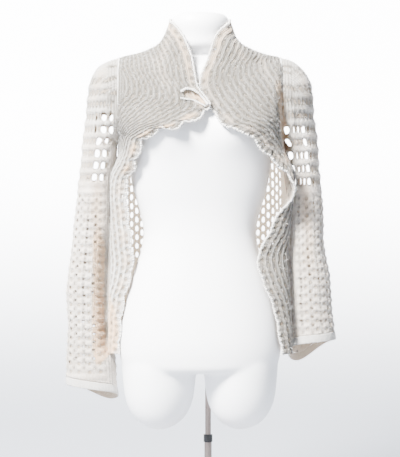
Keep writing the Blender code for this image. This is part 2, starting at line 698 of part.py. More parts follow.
def build_cuff(name, rows, side, drop, material):
    """Build the plain band below a sleeve's last row, on the sleeve's own columns."""
    length = rows[-1][0]
    around = sleeve_ring()[0]
    last = sleeve_surface(rows, np.array([length - 8, length]), around, side, drop)
    step = last[1] - last[0]
    step = step / np.linalg.norm(step, axis=1, keepdims=True)
    inner = np.array([last[1] + step * far for far in (2 * SEAM_GAP, CUFF_TALL / 2, CUFF_TALL)])
    outer = inner + outward_of(inner, side, closed=True) * CUFF_THICK
    wall(name, inner, outer, material, closed=True)


def build_edging(name, panel, material):
    """Build the rolled crochet cord along a front's free edge."""
    inner, outer = panel
    middle = (inner[:, 0] + outer[:, 0]) / 2
    inward = (inner[:, 1] + outer[:, 1]) / 2 - middle

    def unit(values):
        return values / np.linalg.norm(values, axis=1, keepdims=True)

    def halve(values):
        between = (values[1:] + values[:-1]) / 2
        return np.insert(values, range(1, len(values)), between, axis=0)

    tangent = unit(np.gradient(middle, axis=0))
    away = unit(np.cross(tangent, unit(outer[:, 0] - inner[:, 0])))
    away *= -np.sign((away * inward).sum(1, keepdims=True))
    middle, tangent, away = halve(middle), unit(halve(tangent)), unit(halve(away))
    path = middle + away * (EDGING_RADIUS + EDGING_SWELL + 1.5 * SEAM_GAP)
    first = unit(np.cross(away, tangent))
    swell = EDGING_RADIUS + EDGING_SWELL * np.where(np.arange(len(path)) % 2, 1, -1)
    turn = np.arange(EDGING_SIDES)[:, None] * 2 * math.pi / EDGING_SIDES
    rings = [path[place] + swell[place] * (away[place] * np.cos(turn) + first[place] * np.sin(turn))
             for place in range(len(path))]
    loft(name, rings, material)


def main():
    """Build every piece in order."""
    for piece in list(bpy.data.objects):
        bpy.data.objects.remove(piece)
    knit = new_material("ivory_knit", IVORY, 0.95)
    shell = new_material("form_shell", FORM_WHITE, 0.45)
    metal = new_material("pole_metal", POLE_METAL, 0.3, 1.0)
    black = new_material("clamp_black", CLAMP_BLACK, 0.4)
    build_form(shell)
    build_stand(metal, black)
    build_back(knit)
    build_collar(knit)
    for name, rows, side in (("left", FRONT_LEFT, -1), ("right", FRONT_RIGHT, 1)):
        panel = build_front(f"front_{name}", rows, side, knit)
        build_edging(f"edging_{name}", panel, knit)
    build_sleeve("sleeve_left", SLEEVE_LEFT, -1, HEM_DROP_LEFT, knit)
    build_sleeve("sleeve_right", SLEEVE_RIGHT, 1, HEM_DROP_RIGHT, knit)


main()
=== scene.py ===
"""Openwork ivory cardigan with a shawl collar on a limbless dress form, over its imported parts.

The tables are in millimetres: x and y from the form's own centre line, with -y to the front, and
heights above the floor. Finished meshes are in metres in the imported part's frame.
"""
import json
import math

import bpy
import numpy as np
from bpy.props import FloatProperty, FloatVectorProperty, IntProperty, PointerProperty
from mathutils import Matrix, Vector

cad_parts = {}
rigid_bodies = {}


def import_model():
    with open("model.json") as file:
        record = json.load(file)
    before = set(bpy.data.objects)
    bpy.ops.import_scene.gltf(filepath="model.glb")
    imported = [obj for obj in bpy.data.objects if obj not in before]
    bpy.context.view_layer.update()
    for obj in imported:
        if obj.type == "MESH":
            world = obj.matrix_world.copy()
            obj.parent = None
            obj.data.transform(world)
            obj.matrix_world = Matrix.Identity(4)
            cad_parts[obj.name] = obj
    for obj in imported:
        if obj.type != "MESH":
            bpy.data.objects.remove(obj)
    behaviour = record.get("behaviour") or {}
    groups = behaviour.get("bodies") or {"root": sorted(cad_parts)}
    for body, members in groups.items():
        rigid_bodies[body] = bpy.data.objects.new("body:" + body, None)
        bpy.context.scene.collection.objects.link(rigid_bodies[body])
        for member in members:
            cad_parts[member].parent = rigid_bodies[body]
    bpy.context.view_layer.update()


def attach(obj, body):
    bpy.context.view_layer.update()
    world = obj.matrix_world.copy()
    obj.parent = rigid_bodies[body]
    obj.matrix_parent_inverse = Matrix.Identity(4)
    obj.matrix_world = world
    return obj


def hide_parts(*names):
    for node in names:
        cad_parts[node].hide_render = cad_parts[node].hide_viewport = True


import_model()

bl_info = {
    "name": "Openwork cardigan",
    "version": (1, 0, 0),
    "blender": (4, 5, 0),
    "location": "3D View > Sidebar > Cardigan",
    "description": "Builds an openwork wool cardigan, its dress form and a plain stage",
    "category": "Add Mesh",
}

MM = 0.001
FORM_X, FORM_Y = -17.2, -66.0
FORM_POWER = 2.2
# Faces round the torso, a thigh and the pole's socket, and the radius of that socket.
FORM_SIDES, THIGH_SIDES, BORE_SIDES, POLE_HOLE = 120, 96, 48, 6.65

# The form's torso: height, half width, front depth, back depth.
TORSO = (
    (349, 100, 70, 80),
    (353, 140, 88, 98),
    (361, 159, 96, 108),
    (375, 166, 100, 114),
    (404, 169, 104, 119),
    (435, 168, 103, 121),
    (477, 162, 99, 117),
    (519, 151, 94, 107),
    (561, 139, 88, 94),
    (603, 124, 82, 81),
    (641, 118, 79, 74),
    (683, 126, 82, 76),
    (729, 140, 92, 83),
    (782, 149, 105, 91),
    (830, 156, 114, 97),
    (866, 165, 112, 99),
    (908, 174, 99, 95),
    (940, 177, 88, 88),
    (970, 175, 78, 80),
    (987, 162, 66, 70),
    (998, 145, 50, 56),
    (1013.7, 118, 28, 32),
    (1018, 82, 38, 44),
    (1028, 65, 52, 56),
    (1045, 57, 55, 57),
    (1094, 55.5, 54, 56),
    (1098, 51, 50, 52),
)
BUST_X, BUST_HEIGHT = 70, 848
BUST_WIDTH, BUST_TALL, BUST_OUT = 44, 46, 15

# Each thigh stub: height, half width, half depth.
THIGH = (
    (400, 77, 84),
    (360, 78, 87),
    (324, 75.5, 83),
    (300, 72.5, 78),
    (280, 67.5, 71),
    (262, 59, 62),
    (247, 47, 50),
    (236, 32, 35),
    (228, 12, 13),
)
THIGH_X, THIGH_Y = 85.5, 4.0

# How far the back stands behind the form's centre line: height, depth.
BACK_DEPTH = ((380, 134), (440, 136), (520, 130), (603, 122), (683, 116), (729, 115), (782, 114),
              (830, 113), (866, 112), (908, 108), (940, 102), (970, 94), (989, 87), (1001, 83),
              (1010, 79), (1019, 76), (1030, 73), (1042, 72), (1085, 70))
HULL_POWER = 2.5
FORM_CLEARANCE = 6.0
WALL_MIDDLE = 1.5
SEAM_HALF = 0.15

ARMHOLE_X, ARMHOLE_Y = 168.0, 2.0
ARMHOLE_TOP, ARMHOLE_BOTTOM = 1004.0, 836.0
ARMHOLE_DEPTH = 68.0
# Shoulder seam from the collar to the armhole: x, height.
SHOULDER = ((76, 1038), (84, 1032), (94, 1026), (110, 1020), (130, 1014), (150, 1009), (168, 1004))
SIDE_SEAM_Y = 10.0
HEM_HEIGHT = 389.0

# Front panels from the collar down: position, x, y and height of the free edge, then the seam's.
FRONT_LEFT = (
    (0.00, -61, -1, 1084, -76, -1, 1038),
    (0.025, -60, -18, 1079, -79, -1, 1035),
    (0.05, -55, -36, 1072, -84, -1, 1032),
    (0.10, -45, -52, 1058, -94, -1, 1026),
    (0.16, -35, -64, 1042, -110, -1, 1020),
    (0.23, -27, -74, 1022, -130, -1, 1014),
    (0.30, -19, -80, 1000, -150, -1, 1009),
    (0.37, -14, -92, 970, -166, -1, 1004),
    (0.44, -7, -104, 938, -168, -41, 985),
    (0.51, 10, -118, 911, -168, -58, 960),
    (0.58, 12, -127, 886, -168, -65.5, 930),
    (0.64, -14, -132, 871, -168, -64.6, 903),
    (0.70, -40, -141, 857, -168, -58, 880),
    (0.76, -68, -138, 853, -168, -46, 861),
    (0.82, -94, -128, 845, -168, -32, 847),
    (0.88, -117, -112, 829, -168, -13, 838),
    (0.94, -129, -96, 806, -169, 4, 815),
    (1.00, -133, -84, 786, -172.5, 8, 790),
    (1.08, -146, -62, 764, -177, 10, 764),
    (1.18, -155, -46, 736, -179.2, 10, 736),
    (1.30, -154, -38, 694, -180.7, 10, 694),
    (1.50, -147, -36, 630, -181, 10, 630),
    (1.70, -144, -36, 562, -181, 10, 555),
    (1.86, -163, -32, 490, -181, 10, 490),
    (2.00, -172, -28, 389, -181, 10, 389),
)
FRONT_RIGHT = (
    (0.00, 61, -1, 1084, 76, -1, 1038),
    (0.025, 60, -19, 1078, 79, -1, 1035),
    (0.05, 55, -38, 1069, 84, -1, 1032),
    (0.10, 43, -53, 1057, 94, -1, 1026),
    (0.16, 32, -66, 1040, 110, -1, 1020),
    (0.23, 24, -75, 1014, 130, -1, 1014),
    (0.30, 15, -81, 988, 150, -1, 1009),
    (0.37, 4, -88, 960, 166, -1, 1004),
    (0.44, 3, -95, 932, 168, -41, 985),
    (0.51, 22, -110, 898, 168, -58, 960),
    (0.58, 41, -124, 871, 168, -65.5, 930),
    (0.64, 60, -133, 853, 168, -64.6, 903),
    (0.70, 85, -136, 847, 168, -58, 880),
    (0.76, 109, -128, 832, 168, -46, 861),
    (0.82, 132, -116, 806, 168, -32, 847),
    (0.88, 156, -106, 784, 169, -13, 838),
    (0.94, 178, -100, 761, 171, 4, 818),
    (0.97, 187, -97, 747, 172, 6, 801),
    (1.00, 192, -91, 730, 173.7, 8, 784),
    (1.08, 179, -72, 703, 179.5, 10, 732),
    (1.18, 164, -62, 682, 180.7, 10, 690),
    (1.30, 149, -61, 648, 180.9, 10, 652),
    (1.50, 122, -60, 589, 181, 10, 600),
    (1.70, 133, -62, 538, 181, 10, 540),
    (1.86, 156, -56, 480, 181, 10, 480),
    (2.00, 173, -46, 389, 181, 10, 389),
)

# By side: distance between a front's ribs and between its dimples, how soon the front bends
# back to its seam, where its first scallop ends, and how far the scallops stand out.
RIB_PITCH = {-1: 12.5, 1: 13.0}
DIMPLE_PITCH = {-1: 16.0, 1: 23.0}
FRONT_BEND = {-1: 1.45, 1: 1.15}
FIRST_CUSP = {-1: 0.683, 1: 0.655}
SCALLOP_DEPTH = {-1: 14.0, 1: 6.0}
SCALLOP_WIDTH, PICOT_WIDTH = 50.0, 12.5
DROP_BULGE, FRONT_ACROSS = 12.0, 190
# Pitch of the fine ribs and of the small staggered knit, in millimetres; a hair in metres.
FINE_RIB, SMALL_KNIT = 6.4, 17.5
HAIR_WIDTH = 0.00022
# The roundness of openings, how far they keep from a seam in half widths, and their distance
# where there is none.
OPENING_POWER, OPENING_MARGIN, FAR = 2.6, 2.2, 9.0
# Dimples and the raised rims of openings: how deep or high, how shaded, where and how wide.
DIMPLE_DEPTH, DIMPLE_SHADE = 2.6, 0.9
RIM_RISE, RIM_SHADE, RIM_PLACE, RIM_REACH = 0.7, 0.35, 1.45, 0.35

# Sleeves: position along, x and height of the outer and the inner side, half depth, middle y.
SLEEVE_RIGHT = (
    (0, 168.3, 1004, 168.3, 836, 68, 2),
    (28, 193, 998, 173, 829, 68, 2),
    (56, 216, 979, 178, 821, 65, 2),
    (84, 231, 949, 177, 811, 60, 3),
    (112, 236, 913, 178, 797, 55, 4),
    (140, 238, 882, 181.5, 780, 51, 5),
    (180, 244, 838, 185, 755, 48, 7),
    (240, 250, 773, 187, 712, 45, 10),
    (310, 256, 702, 187, 655, 43, 13),
    (400, 261, 610, 187, 575, 42, 16),
    (480, 273, 532, 188, 505, 43, 18),
    (540, 277, 474, 189, 455, 44, 20),
    (585, 282, 432, 189, 424, 45, 22),
)
SLEEVE_LEFT = (
    (0, -168.3, 1004, -168.3, 836, 68, 2),
    (28, -193, 997, -173, 829, 68, 2),
    (56, -217, 979, -178, 821, 65, 2),
    (84, -231, 950, -177, 811, 60, 3),
    (112, -235, 913, -178, 797, 55, 4),
    (140, -237, 882, -181.5, 780, 51, 5),
    (180, -244, 836, -185, 755, 48, 7),
    (240, -250, 773, -187, 712, 46, 10),
    (310, -258, 702, -187, 655, 45, 13),
    (400, -268, 610, -187, 575, 45, 16),
    (480, -278, 530, -187, 500, 46, 18),
    (560, -277, 450, -184, 425, 48, 20),
    (640, -279, 372, -180, 356, 49, 22),
    (674, -280, 338, -177, 324, 49, 22),
)
SLEEVES = {"left": SLEEVE_LEFT, "right": SLEEVE_RIGHT}
# Pitch of a sleeve's upper rows, where its dimples start and where its small knit starts.
ROW_PITCH = {"right": 27.2, "left": 25.0}
FIRST_DIMPLE = {"right": 53.6, "left": 37.0}
SMALL_KNIT_FROM = {"right": 284, "left": 278}
COLUMN_STEP, FRONT_SEAM_END = 3.9, 172
HEM_DROP = {"right": 42.0, "left": 24.0}
HEM_DROP_LENGTH = 110.0
CUFF_TALL = 17.0
# A deep fold runs down the front of the left sleeve: start, end, angle, depth and width.
FOLD_START, FOLD_END, FOLD_ANGLE = 310.0, 634.0, 136.0
FOLD_DEPTH, FOLD_WIDTH, FOLD_FADE = 30.0, 23.0, 80.0

# A painted warm shade patch in the lower left hollow: height, its left and its right edge.
PATCH = ((360, -216, -214), (380, -222, -196), (404, -225, -168), (456, -226, -170),
         (498, -226, -184), (540, -225, -195), (624, -224, -203), (660, -216, -210))
PATCH_STARTS, PATCH_ENDS, PATCH_DEPTH = (358, 374), (610, 660), (0, 14)
# The painted warm shade of the fold along the right armhole: x at a height, its slope, half
# width and strength, then where it starts, ends and fades to the back.
ARM_FOLD = (161, 926, 0.12, 6.5, 1.1)
ARM_FOLD_STARTS, ARM_FOLD_ENDS, ARM_FOLD_DEPTH = (765, 800), (935, 975), (12, 30)
# The loop of cord where the fronts meet: x and height of its two sides, and the hollow inside,
# which is also painted with warm shade.
LOOPS = (((-37, 927), (-28, 933), (-15, 931), (-2.5, 923), (8, 911), (15, 900)),
         ((-38, 912), (-26, 910), (-14, 909), (-2, 903), (10, 896)))
LOOP_HOLLOW = (-12, 916, 25.0, 8.5, -22.0, 9.0)

# The back's yoke: its lower end, its length and the level that spaces the back's columns. The
# net at both sides: its first column, its pitch and how many columns are open at image right.
BACK_YOKE_HEIGHT, YOKE_LENGTH, BACK_LEVEL = 955.0, 105, 700.0
NET_FROM, NET_PITCH, NET_RIGHT_COLUMNS = 128, 12.5, 6
BACK_WIDTH = ((380, 181), (640, 181), (720, 180.5), (770, 176.5), (800, 170.5), (836, 168),
              (1004, 168))
NECK_PART, NECK_WIDTH, NECK_DEPTH, NECK_HEIGHT = 0.44, 76.0, 72.0, 1038.0
COLLAR_TOP, COLLAR_TOP_WIDTH, COLLAR_TOP_DEPTH, COLLAR_RIB = 1084.0, 61.0, 66.0, 9.0

# Openings in the sleeves, by how far they lie below the shoulder: from, to, pitch, half height,
# then each column's angle, half width in degrees and shift as a part of the pitch.
SLEEVE_HOLES = {
    "right": (
        (108, 136, 27.2, 6.0, ((67, 4, 0), (80, 4, 0), (93, 4, 0), (106, 3, 0), (124, 3.5, 0))),
        (136, 272, 27.2, 8.6, (
            (62, 3.0, 0), (77, 6.5, 0), (92, 4.0, 0), (106, 4.0, 0), (133, 11.0, 0))),
        (131, 267, 27.2, 8.6, ((295, 7.5, 0), (276, 5.0, 0), (262, 4.0, 0), (238, 11.0, 0))),
        (284, 566, 17.6, 3.0, (
            (38, 4.0, 0), (66, 4.4, 0.5), (90, 4.8, 0), (118, 4.8, 0.5), (215, 4.2, 0),
            (240, 4.6, 0.5), (268, 4.6, 0), (296, 4.6, 0.5), (322, 4.0, 0))),
    ),
    "left": (
        (62, 112, 25.0, 5.5, ((122, 3.4, 0), (104, 3.0, 0.5))),
        (112, 162, 25.0, 8.6, ((99, 9.0, 0), (125, 8.0, 0), (74, 3.0, 0))),
        (162, 262, 25.0, 8.2, ((89, 8.6, 0), (113, 6.6, 0), (66, 2.4, 0))),
        (107, 157, 25.0, 8.6, ((273, 10.5, 0), (244, 11.0, 0))),
        (157, 257, 25.0, 8.4, ((283, 10.5, 0), (256, 10.0, 0))),
        (278, 640, 17.4, 3.3, (
            (34, 4.2, 0), (56, 4.6, 0.5), (78, 5.2, 0), (100, 4.0, 0.5), (215, 4.2, 0),
            (240, 4.6, 0.5), (266, 4.6, 0), (294, 4.6, 0.5), (322, 4.0, 0))),
    ),
}
STRIP_FROM, STRIP_TO, STRIP_PITCH = 131.0, 167.0, 8.4
SHOULDER_LEVEL = 1004.0

# Long soft folds seen from the front: x and height of both ends, how deep, how wide. A negative
# depth stands proud.
CREASES = (
    (161, 950, 186, 782, 9.0, 6.5),
    (176, 972, 200, 800, -4.0, 8.0),
    (146, 975, 168, 800, -4.0, 9.0),
    (118, 1018, 150, 930, 2.5, 9.0),
    (64, 1050, 92, 985, 3.0, 8.0),
    (-62, 1052, -80, 985, 3.0, 9.0),
    (-100, 1010, -60, 925, 2.0, 12.0),
    (-30, 990, -52, 880, -3.0, 10.0),
    (36, 985, 74, 880, -2.5, 10.0),
    (-200, 985, -226, 900, 2.0, 10.0),
    (206, 985, 226, 900, 2.0, 10.0),
    (214, 760, 232, 560, 2.5, 10.0),
    (-214, 760, -214, 610, 2.5, 10.0),
)

# The stage in metres: the sweep's near edge, bend, top and side, and where the camera looks;
# the picture's rows and the millimetres that one row shows.
SWEEP_NEAR, SWEEP_BEND, SWEEP_TOP, SWEEP_SIDE, LOOK_HEIGHT = -4.0, 0.9, 4.5, 5.0, 0.649
PICTURE_ROWS, ROW_SIZE = 457, 2.1


def smooth_table(rows, where):
    """Read a table as smooth curves: the first column is the position, the others follow it."""
    table = np.array(rows, dtype=float)
    place, values = table[:, 0], table[:, 1:]
    slope = np.gradient(values, place, axis=0)
    where = np.clip(np.asarray(where, dtype=float), place[0], place[-1])
    low = np.clip(np.searchsorted(place, where) - 1, 0, len(place) - 2)
    span = place[low + 1] - place[low]
    t = ((where - place[low]) / span)[..., None]
    span = span[..., None]
    return (values[low] * (1 + 2 * t) * (1 - t) ** 2
            + slope[low] * span * t * (1 - t) ** 2
            + values[low + 1] * t ** 2 * (3 - 2 * t)
            + slope[low + 1] * span * t ** 2 * (t - 1))


def soft_step(value, low, high):
    """Rise smoothly from 0 at low to 1 at high."""
    t = np.clip((value - low) / (high - low), 0.0, 1.0)
    return t * t * (3 - 2 * t)


def between(value, rise, fall):
    """Rise smoothly from 0 to 1 over one span and fall back over another."""
    return soft_step(value, *rise) * (1 - soft_step(value, *fall))


def ripple(length, pitch):
    """Return a wave from -1 to 1 that repeats at each pitch along a length."""
    return np.cos(length * 2 * math.pi / pitch)


def stagger(number):
    """Return the shift of a column, half a pitch for every second one."""
    return 0.5 * (number % 2)


def unit(vectors):
    """Return vectors of length 1."""
    return vectors / np.maximum(np.linalg.norm(vectors, axis=-1, keepdims=True), 1e-9)


def run_length(points, axis=0):
    """Return the length run along a line of points, or along each line of a grid."""
    step = np.linalg.norm(np.diff(points, axis=axis), axis=-1)
    start = np.zeros_like(np.take(step, [0], axis=axis))
    return np.concatenate((start, np.cumsum(step, axis=axis)), axis=axis)


def slope_of(values, axis, closed=False, turn=None):
    """Return how values change from one grid line to the next."""
    if closed and axis == 1:
        step = np.roll(values, -1, axis=1) - np.roll(values, 1, axis=1)
        if turn:
            step = (step + turn / 2) % turn - turn / 2
        return step / 2
    return np.gradient(values, axis=axis)


def outward_of(points, side, closed=False):
    """Return unit vectors square to a grid of points."""
    down = slope_of(points, 0)
    across = slope_of(points, 1, closed)
    return unit(np.cross(across, down) * side)


def bust(x, height):
    """Return how far the bust stands out at a place on the form's front."""
    tall = np.exp(-((height - BUST_HEIGHT) / BUST_TALL) ** 2)
    return BUST_OUT * tall * np.exp(-((np.abs(x) - BUST_X) / BUST_WIDTH) ** 2)


def form_depth(x, height, column):
    """Return the depth of the form in front (1) or behind (2), or 0 beside it."""
    row = smooth_table(TORSO, height)
    left = np.clip(1 - (np.abs(x) / row[..., 0]) ** FORM_POWER, 0, 1)
    depth = row[..., column] * left ** (1 / FORM_POWER)
    if column == 1:
        depth = depth + bust(x, height)
    return np.where(left > 0, depth, 0.0)


def add_mesh(name, points, faces, material, uv=None, marks=()):
    """Make one finished object from points in the form's millimetres.

    Marks are names with one value from 0 to 1 for each point, which the material reads.
    """
    mesh = bpy.data.meshes.new(name)
    shift = np.array((FORM_X, FORM_Y, 0.0))
    faces = faces if isinstance(faces, list) else faces.tolist()
    mesh.from_pydata(((np.asarray(points) + shift) * MM).tolist(), [], faces)
    if uv is not None:
        layer = mesh.uv_layers.new(name="cloth")
        corner = np.zeros(len(mesh.loops), dtype=np.int32)
        mesh.loops.foreach_get("vertex_index", corner)
        layer.data.foreach_set("uv", (np.asarray(uv)[corner] * MM).ravel())
    for mark, values in marks:
        layer = mesh.attributes.new(mark, "FLOAT", "POINT")
        layer.data.foreach_set("value", np.clip(values, 0.0, 1.0).astype(np.float32))
    mesh.materials.append(material)
    mesh.shade_smooth()
    piece = bpy.data.objects.new(name, mesh)
    bpy.context.scene.collection.objects.link(piece)
    return piece


def finish_piece(piece, nodes=()):
    """Tie a finished piece to the part's body and the nodes that it stands for."""
    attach(piece, "root")
    if nodes:
        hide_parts(*nodes)
    return piece


def apply_modifiers(piece):
    """Turn a piece with modifiers into a plain mesh of the same name."""
    graph = bpy.context.evaluated_depsgraph_get()
    mesh = bpy.data.meshes.new_from_object(piece.evaluated_get(graph))
    piece.modifiers.clear()
    piece.data = mesh
    return piece


def find_openings(along, across, regions, width=None, turn=None):
    """Return how near each point is to the edge of its opening (1), and the offset from its middle.

    A region has its start, end, pitch, half height and columns of place, half width and shift.
    """
    near = np.full(along.shape, FAR)
    off_along, off_across = np.zeros_like(along), np.zeros_like(along)
    for first, last, pitch, tall, columns in regions:
        for place, wide, shift in columns:
            start = first + shift * pitch
            step = np.floor((along - start) / pitch)
            middle = start + (step + 0.5) * pitch
            from_middle = along - middle
            beside = across - place
            if turn:
                beside = (beside + turn / 2) % turn - turn / 2
            reach = (np.abs(from_middle / tall) ** OPENING_POWER
                     + np.abs(beside / wide) ** OPENING_POWER) ** (1 / OPENING_POWER)
            fits = (middle - tall >= first) & (middle + tall <= last)
            if width is not None:
                fits &= place + OPENING_MARGIN * wide < width
            better = fits & (reach < near)
            near = np.where(better, reach, near)
            off_along = np.where(better, from_middle, off_along)
            off_across = np.where(better, beside, off_across)
    return near, off_along, off_across


def soft_waves(points, seed):
    """Return the unevenness of hand-draped cloth at points, in millimetres."""
    x, y, z = points[..., 0], points[..., 1], points[..., 2]
    return (0.8 * np.sin(x / 17.0 + 1.3 * seed) * np.sin(z / 23.0 + 0.7 * seed)
            + 0.6 * np.sin((x + z) / 31.0 + 2.1 * seed) * np.cos((y - z) / 27.0 + seed)
            + 0.35 * np.sin(z / 7.5 + x / 11.0 + seed))


def press_creases(points, warm_tint_and_shade):
    """Press the long folds into the front of the cloth, and paint warm shade in them."""
    x, z = points[..., 0], points[..., 2]
    shift = np.zeros_like(x)
    for x0, z0, x1, z1, deep, wide in CREASES:
        part = (z - z0) / (z1 - z0)
        wobble = 1.5 * np.sin(z / 14.0 + x0)
        beside = x - (x0 + (x1 - x0) * part) - wobble
        ends = between(part, (-0.05, 0.25), (0.75, 1.05))
        shift += deep * ends * np.exp(-(beside / wide) ** 2)
    ahead = 1 - soft_step(points[..., 1], -35, 0)
    points[..., 1] += shift * ahead
    return points, warm_tint_and_shade + np.clip(shift / 8.0, 0, 1) ** 0.8 * ahead


def patch_shade(points):
    """Return how far each point lies in the patch of painted warm shade at the lower left."""
    height = points[..., 2]
    table = np.array(PATCH, dtype=float)
    left = np.interp(height, table[:, 0], table[:, 1])
    right = np.interp(height, table[:, 0], table[:, 2])
    inside = soft_step(points[..., 0], left - 2, left + 3)
    inside = inside * (1 - soft_step(points[..., 0], right - 4, right + 4))
    inside = inside * soft_step(height, *PATCH_STARTS) * (1 - soft_step(height, *PATCH_ENDS))
    return inside * (1 - soft_step(points[..., 1], *PATCH_DEPTH))


def shade_armhole(points):
    """Return how far a point lies in the painted warm shade of the right armhole's long fold."""
    x, height = points[..., 0], points[..., 2]
    start, level, slope, wide, strength = ARM_FOLD
    beside = x - (start + slope * (level - height))
    ends = between(height, ARM_FOLD_STARTS, ARM_FOLD_ENDS)
    ahead = 1 - soft_step(points[..., 1], *ARM_FOLD_DEPTH)
    return strength * ends * np.exp(-(beside / wide) ** 4) * ahead


def press_loop(points):
    """Press the hollow in the loop where the fronts meet, and return it with its dent for painted
    shade.
    """
    x0, z0, wide, tall, turn, deep = LOOP_HOLLOW
    slope = math.radians(turn)
    u = (points[..., 0] - x0) * math.cos(slope) + (points[..., 2] - z0) * math.sin(slope)
    v = (points[..., 2] - z0) * math.cos(slope) - (points[..., 0] - x0) * math.sin(slope)
    dent = np.exp(-(u / wide) ** 4 - (v / tall) ** 4)
    points[..., 1] += deep * dent
    return points, dent


def loop_line(middle, corners):
    """Return one cord of the loop, laid on the front panel's surface."""
    line = np.array(corners, dtype=float)
    run = np.concatenate(([0], np.cumsum(np.hypot(*np.diff(line, axis=0).T))))
    fine = np.linspace(0, run[-1], 60)
    x, height = np.interp(fine, run, line[:, 0]), np.interp(fine, run, line[:, 1])
    flat = middle.reshape(-1, 3)
    near = [np.argmin(np.hypot(flat[:, 0] - a, flat[:, 2] - b)) for a, b in zip(x, height)]
    depth = np.convolve(flat[near, 1], np.ones(7) / 7, "same")
    depth[:3], depth[-3:] = flat[near[:3], 1], flat[near[-3:], 1]
    return np.stack((x, depth - 4.5, height), axis=1)


def knit_shell(name, middle, outward, along, across, regions, relief, material,
               thick=2.4, closed=False, turn=None, width=None, dimples=(), painted_shade=0.0,
               warm_tint_and_shade=0.0, inside_shade=0.35, backlight=0.2):
    """Knit a thin shell on a grid of points: openings are cut, their rims rounded and raised.

    Dimples are places like openings that are only pressed in. Shade is painted into the colour by
    how deep in the stitches each point lies, warm shade and a warm tint by how deep in a fold, more
    shade on the inside, and a painted glow there that stands in for light through the cloth.
    """
    rows, columns = middle.shape[:2]
    pressed = find_openings(along, across, dimples, width, turn)[0]
    pit = np.exp(-(pressed / 0.95) ** 2.4)
    relief = relief - DIMPLE_DEPTH * pit
    painted_shade = painted_shade + DIMPLE_SHADE * pit + np.zeros_like(along)
    near, off_along, off_across = find_openings(along, across, regions, width, turn)
    p_row, p_col = slope_of(middle, 0), slope_of(middle, 1, closed)
    a_row, a_col = slope_of(along, 0), slope_of(along, 1, closed)
    b_row, b_col = slope_of(across, 0), slope_of(across, 1, closed, turn)
    spread = a_row * b_col - a_col * b_row
    spread = np.where(np.abs(spread) < 1e-6, 1e-6, spread)[..., None]
    by_along = (p_row * b_col[..., None] - p_col * b_row[..., None]) / spread
    by_across = (p_col * a_row[..., None] - p_row * a_col[..., None]) / spread
    inside = near < 1.0
    grow = np.where(inside, 1 / np.maximum(near, 0.05) - 1, 0.0)
    middle = middle + by_along * (off_along * grow)[..., None]
    middle = middle + by_across * (off_across * grow)[..., None]
    ahead = np.roll(inside, -1, axis=1) if closed else inside[:, 1:]
    here = inside if closed else inside[:, :-1]
    keep = ~(here[:-1] & here[1:] & ahead[:-1] & ahead[1:])
    rim = np.maximum(near, 1.0)
    half = thick / 2 * (0.55 + 0.45 * soft_step(rim, 1.0, 1.7))
    raised = relief + RIM_RISE * np.exp(-((rim - RIM_PLACE) / RIM_REACH) ** 2)
    outer = middle + outward * (half + raised)[..., None]
    inner = middle - outward * (half + 0.3 * raised)[..., None]
    cell_rows, cell_columns = np.nonzero(keep)
    ahead_columns = (cell_columns + 1) % columns
    corner = np.stack((cell_rows * columns + cell_columns, cell_rows * columns + ahead_columns,
                       (cell_rows + 1) * columns + ahead_columns,
                       (cell_rows + 1) * columns + cell_columns), axis=1)
    flat_outer, flat_inner = outer.reshape(-1, 3), inner.reshape(-1, 3)
    first, second, third = (flat_outer[corner[:, place]] for place in range(3))
    facing = (np.cross(second - first, third - first) * outward.reshape(-1, 3)[corner[:, 0]]).sum(1)
    if facing.sum() < 0:
        corner = corner[:, ::-1]
    shift = rows * columns
    faces = [corner, corner[:, ::-1] + shift]
    edges = np.stack((corner, np.roll(corner, -1, axis=1)), axis=2).reshape(-1, 2)
    key = np.sort(edges, axis=1)
    key = key[:, 0] * shift + key[:, 1]
    _, place, count = np.unique(key, return_index=True, return_counts=True)
    border = edges[place[count == 1]]
    faces.append(np.stack((border[:, 1], border[:, 0], border[:, 0] + shift,
                           border[:, 1] + shift), axis=1))
    faces = np.concatenate(faces)
    points = np.concatenate((flat_outer, flat_inner))
    uv = np.stack((across.ravel(), along.ravel()), axis=1)
    uv = np.concatenate((uv, uv))
    # Shade is painted round the rims of openings, and raised stitches are painted lighter.
    rim_shade = RIM_SHADE * np.exp(-((rim - 1.0) / RIM_REACH) ** 2)
    outer_painted_shade = painted_shade + rim_shade - 0.12 * np.clip(raised, -1, 1)
    outer_painted_shade = outer_painted_shade * (1 - 0.6 * np.clip(warm_tint_and_shade, 0, 1))
    # The inside faces get painted shade, the more where the stitches are deep.
    painted_shade = np.concatenate((outer_painted_shade.ravel(), inside_shade + 0.35 * painted_shade.ravel()))
    warm_tint_and_shade = (warm_tint_and_shade + np.zeros_like(along)).ravel()
    warm_tint_and_shade = np.concatenate((warm_tint_and_shade, np.maximum(warm_tint_and_shade, 1.8 * inside_shade)))
    # The inside faces get a painted glow that stands in for light through the cloth.
    painted_glow = np.concatenate((np.zeros(along.size), np.full(along.size, backlight)))
    used, numbers = np.unique(faces, return_inverse=True)
    return add_mesh(name, points[used], numbers.reshape(faces.shape), material, uv[used],
                    (("painted_shade", painted_shade[used]), ("warm_tint_and_shade", warm_tint_and_shade[used]), ("painted_glow", painted_glow[used])))


def cut_of(points, closed=False):
    """Return the flat cut of a panel, its width and length, and its area, in metres."""
    across = run_length(points, 1)[:, -1]
    if closed:
        across = across + np.linalg.norm(points[:, 0] - points[:, -1], axis=1)
    down = run_length(points, 0)[-1]
    first = np.cross(points[1:, 1:] - points[:-1, :-1], points[1:, :-1] - points[:-1, 1:])
    area = np.linalg.norm(first, axis=2).sum() / 2
    if closed:
        area *= across.mean() / run_length(points, 1)[:, -1].mean()
    width, length = across.max() * MM, down.max() * MM
    return width, length, min(area * MM * MM, width * length)


def declare_sheet(points, closed=False):
    """Work out the width, length and area of a cloth piece's cut, which are not kept."""
    width, length, area = cut_of(points, closed)


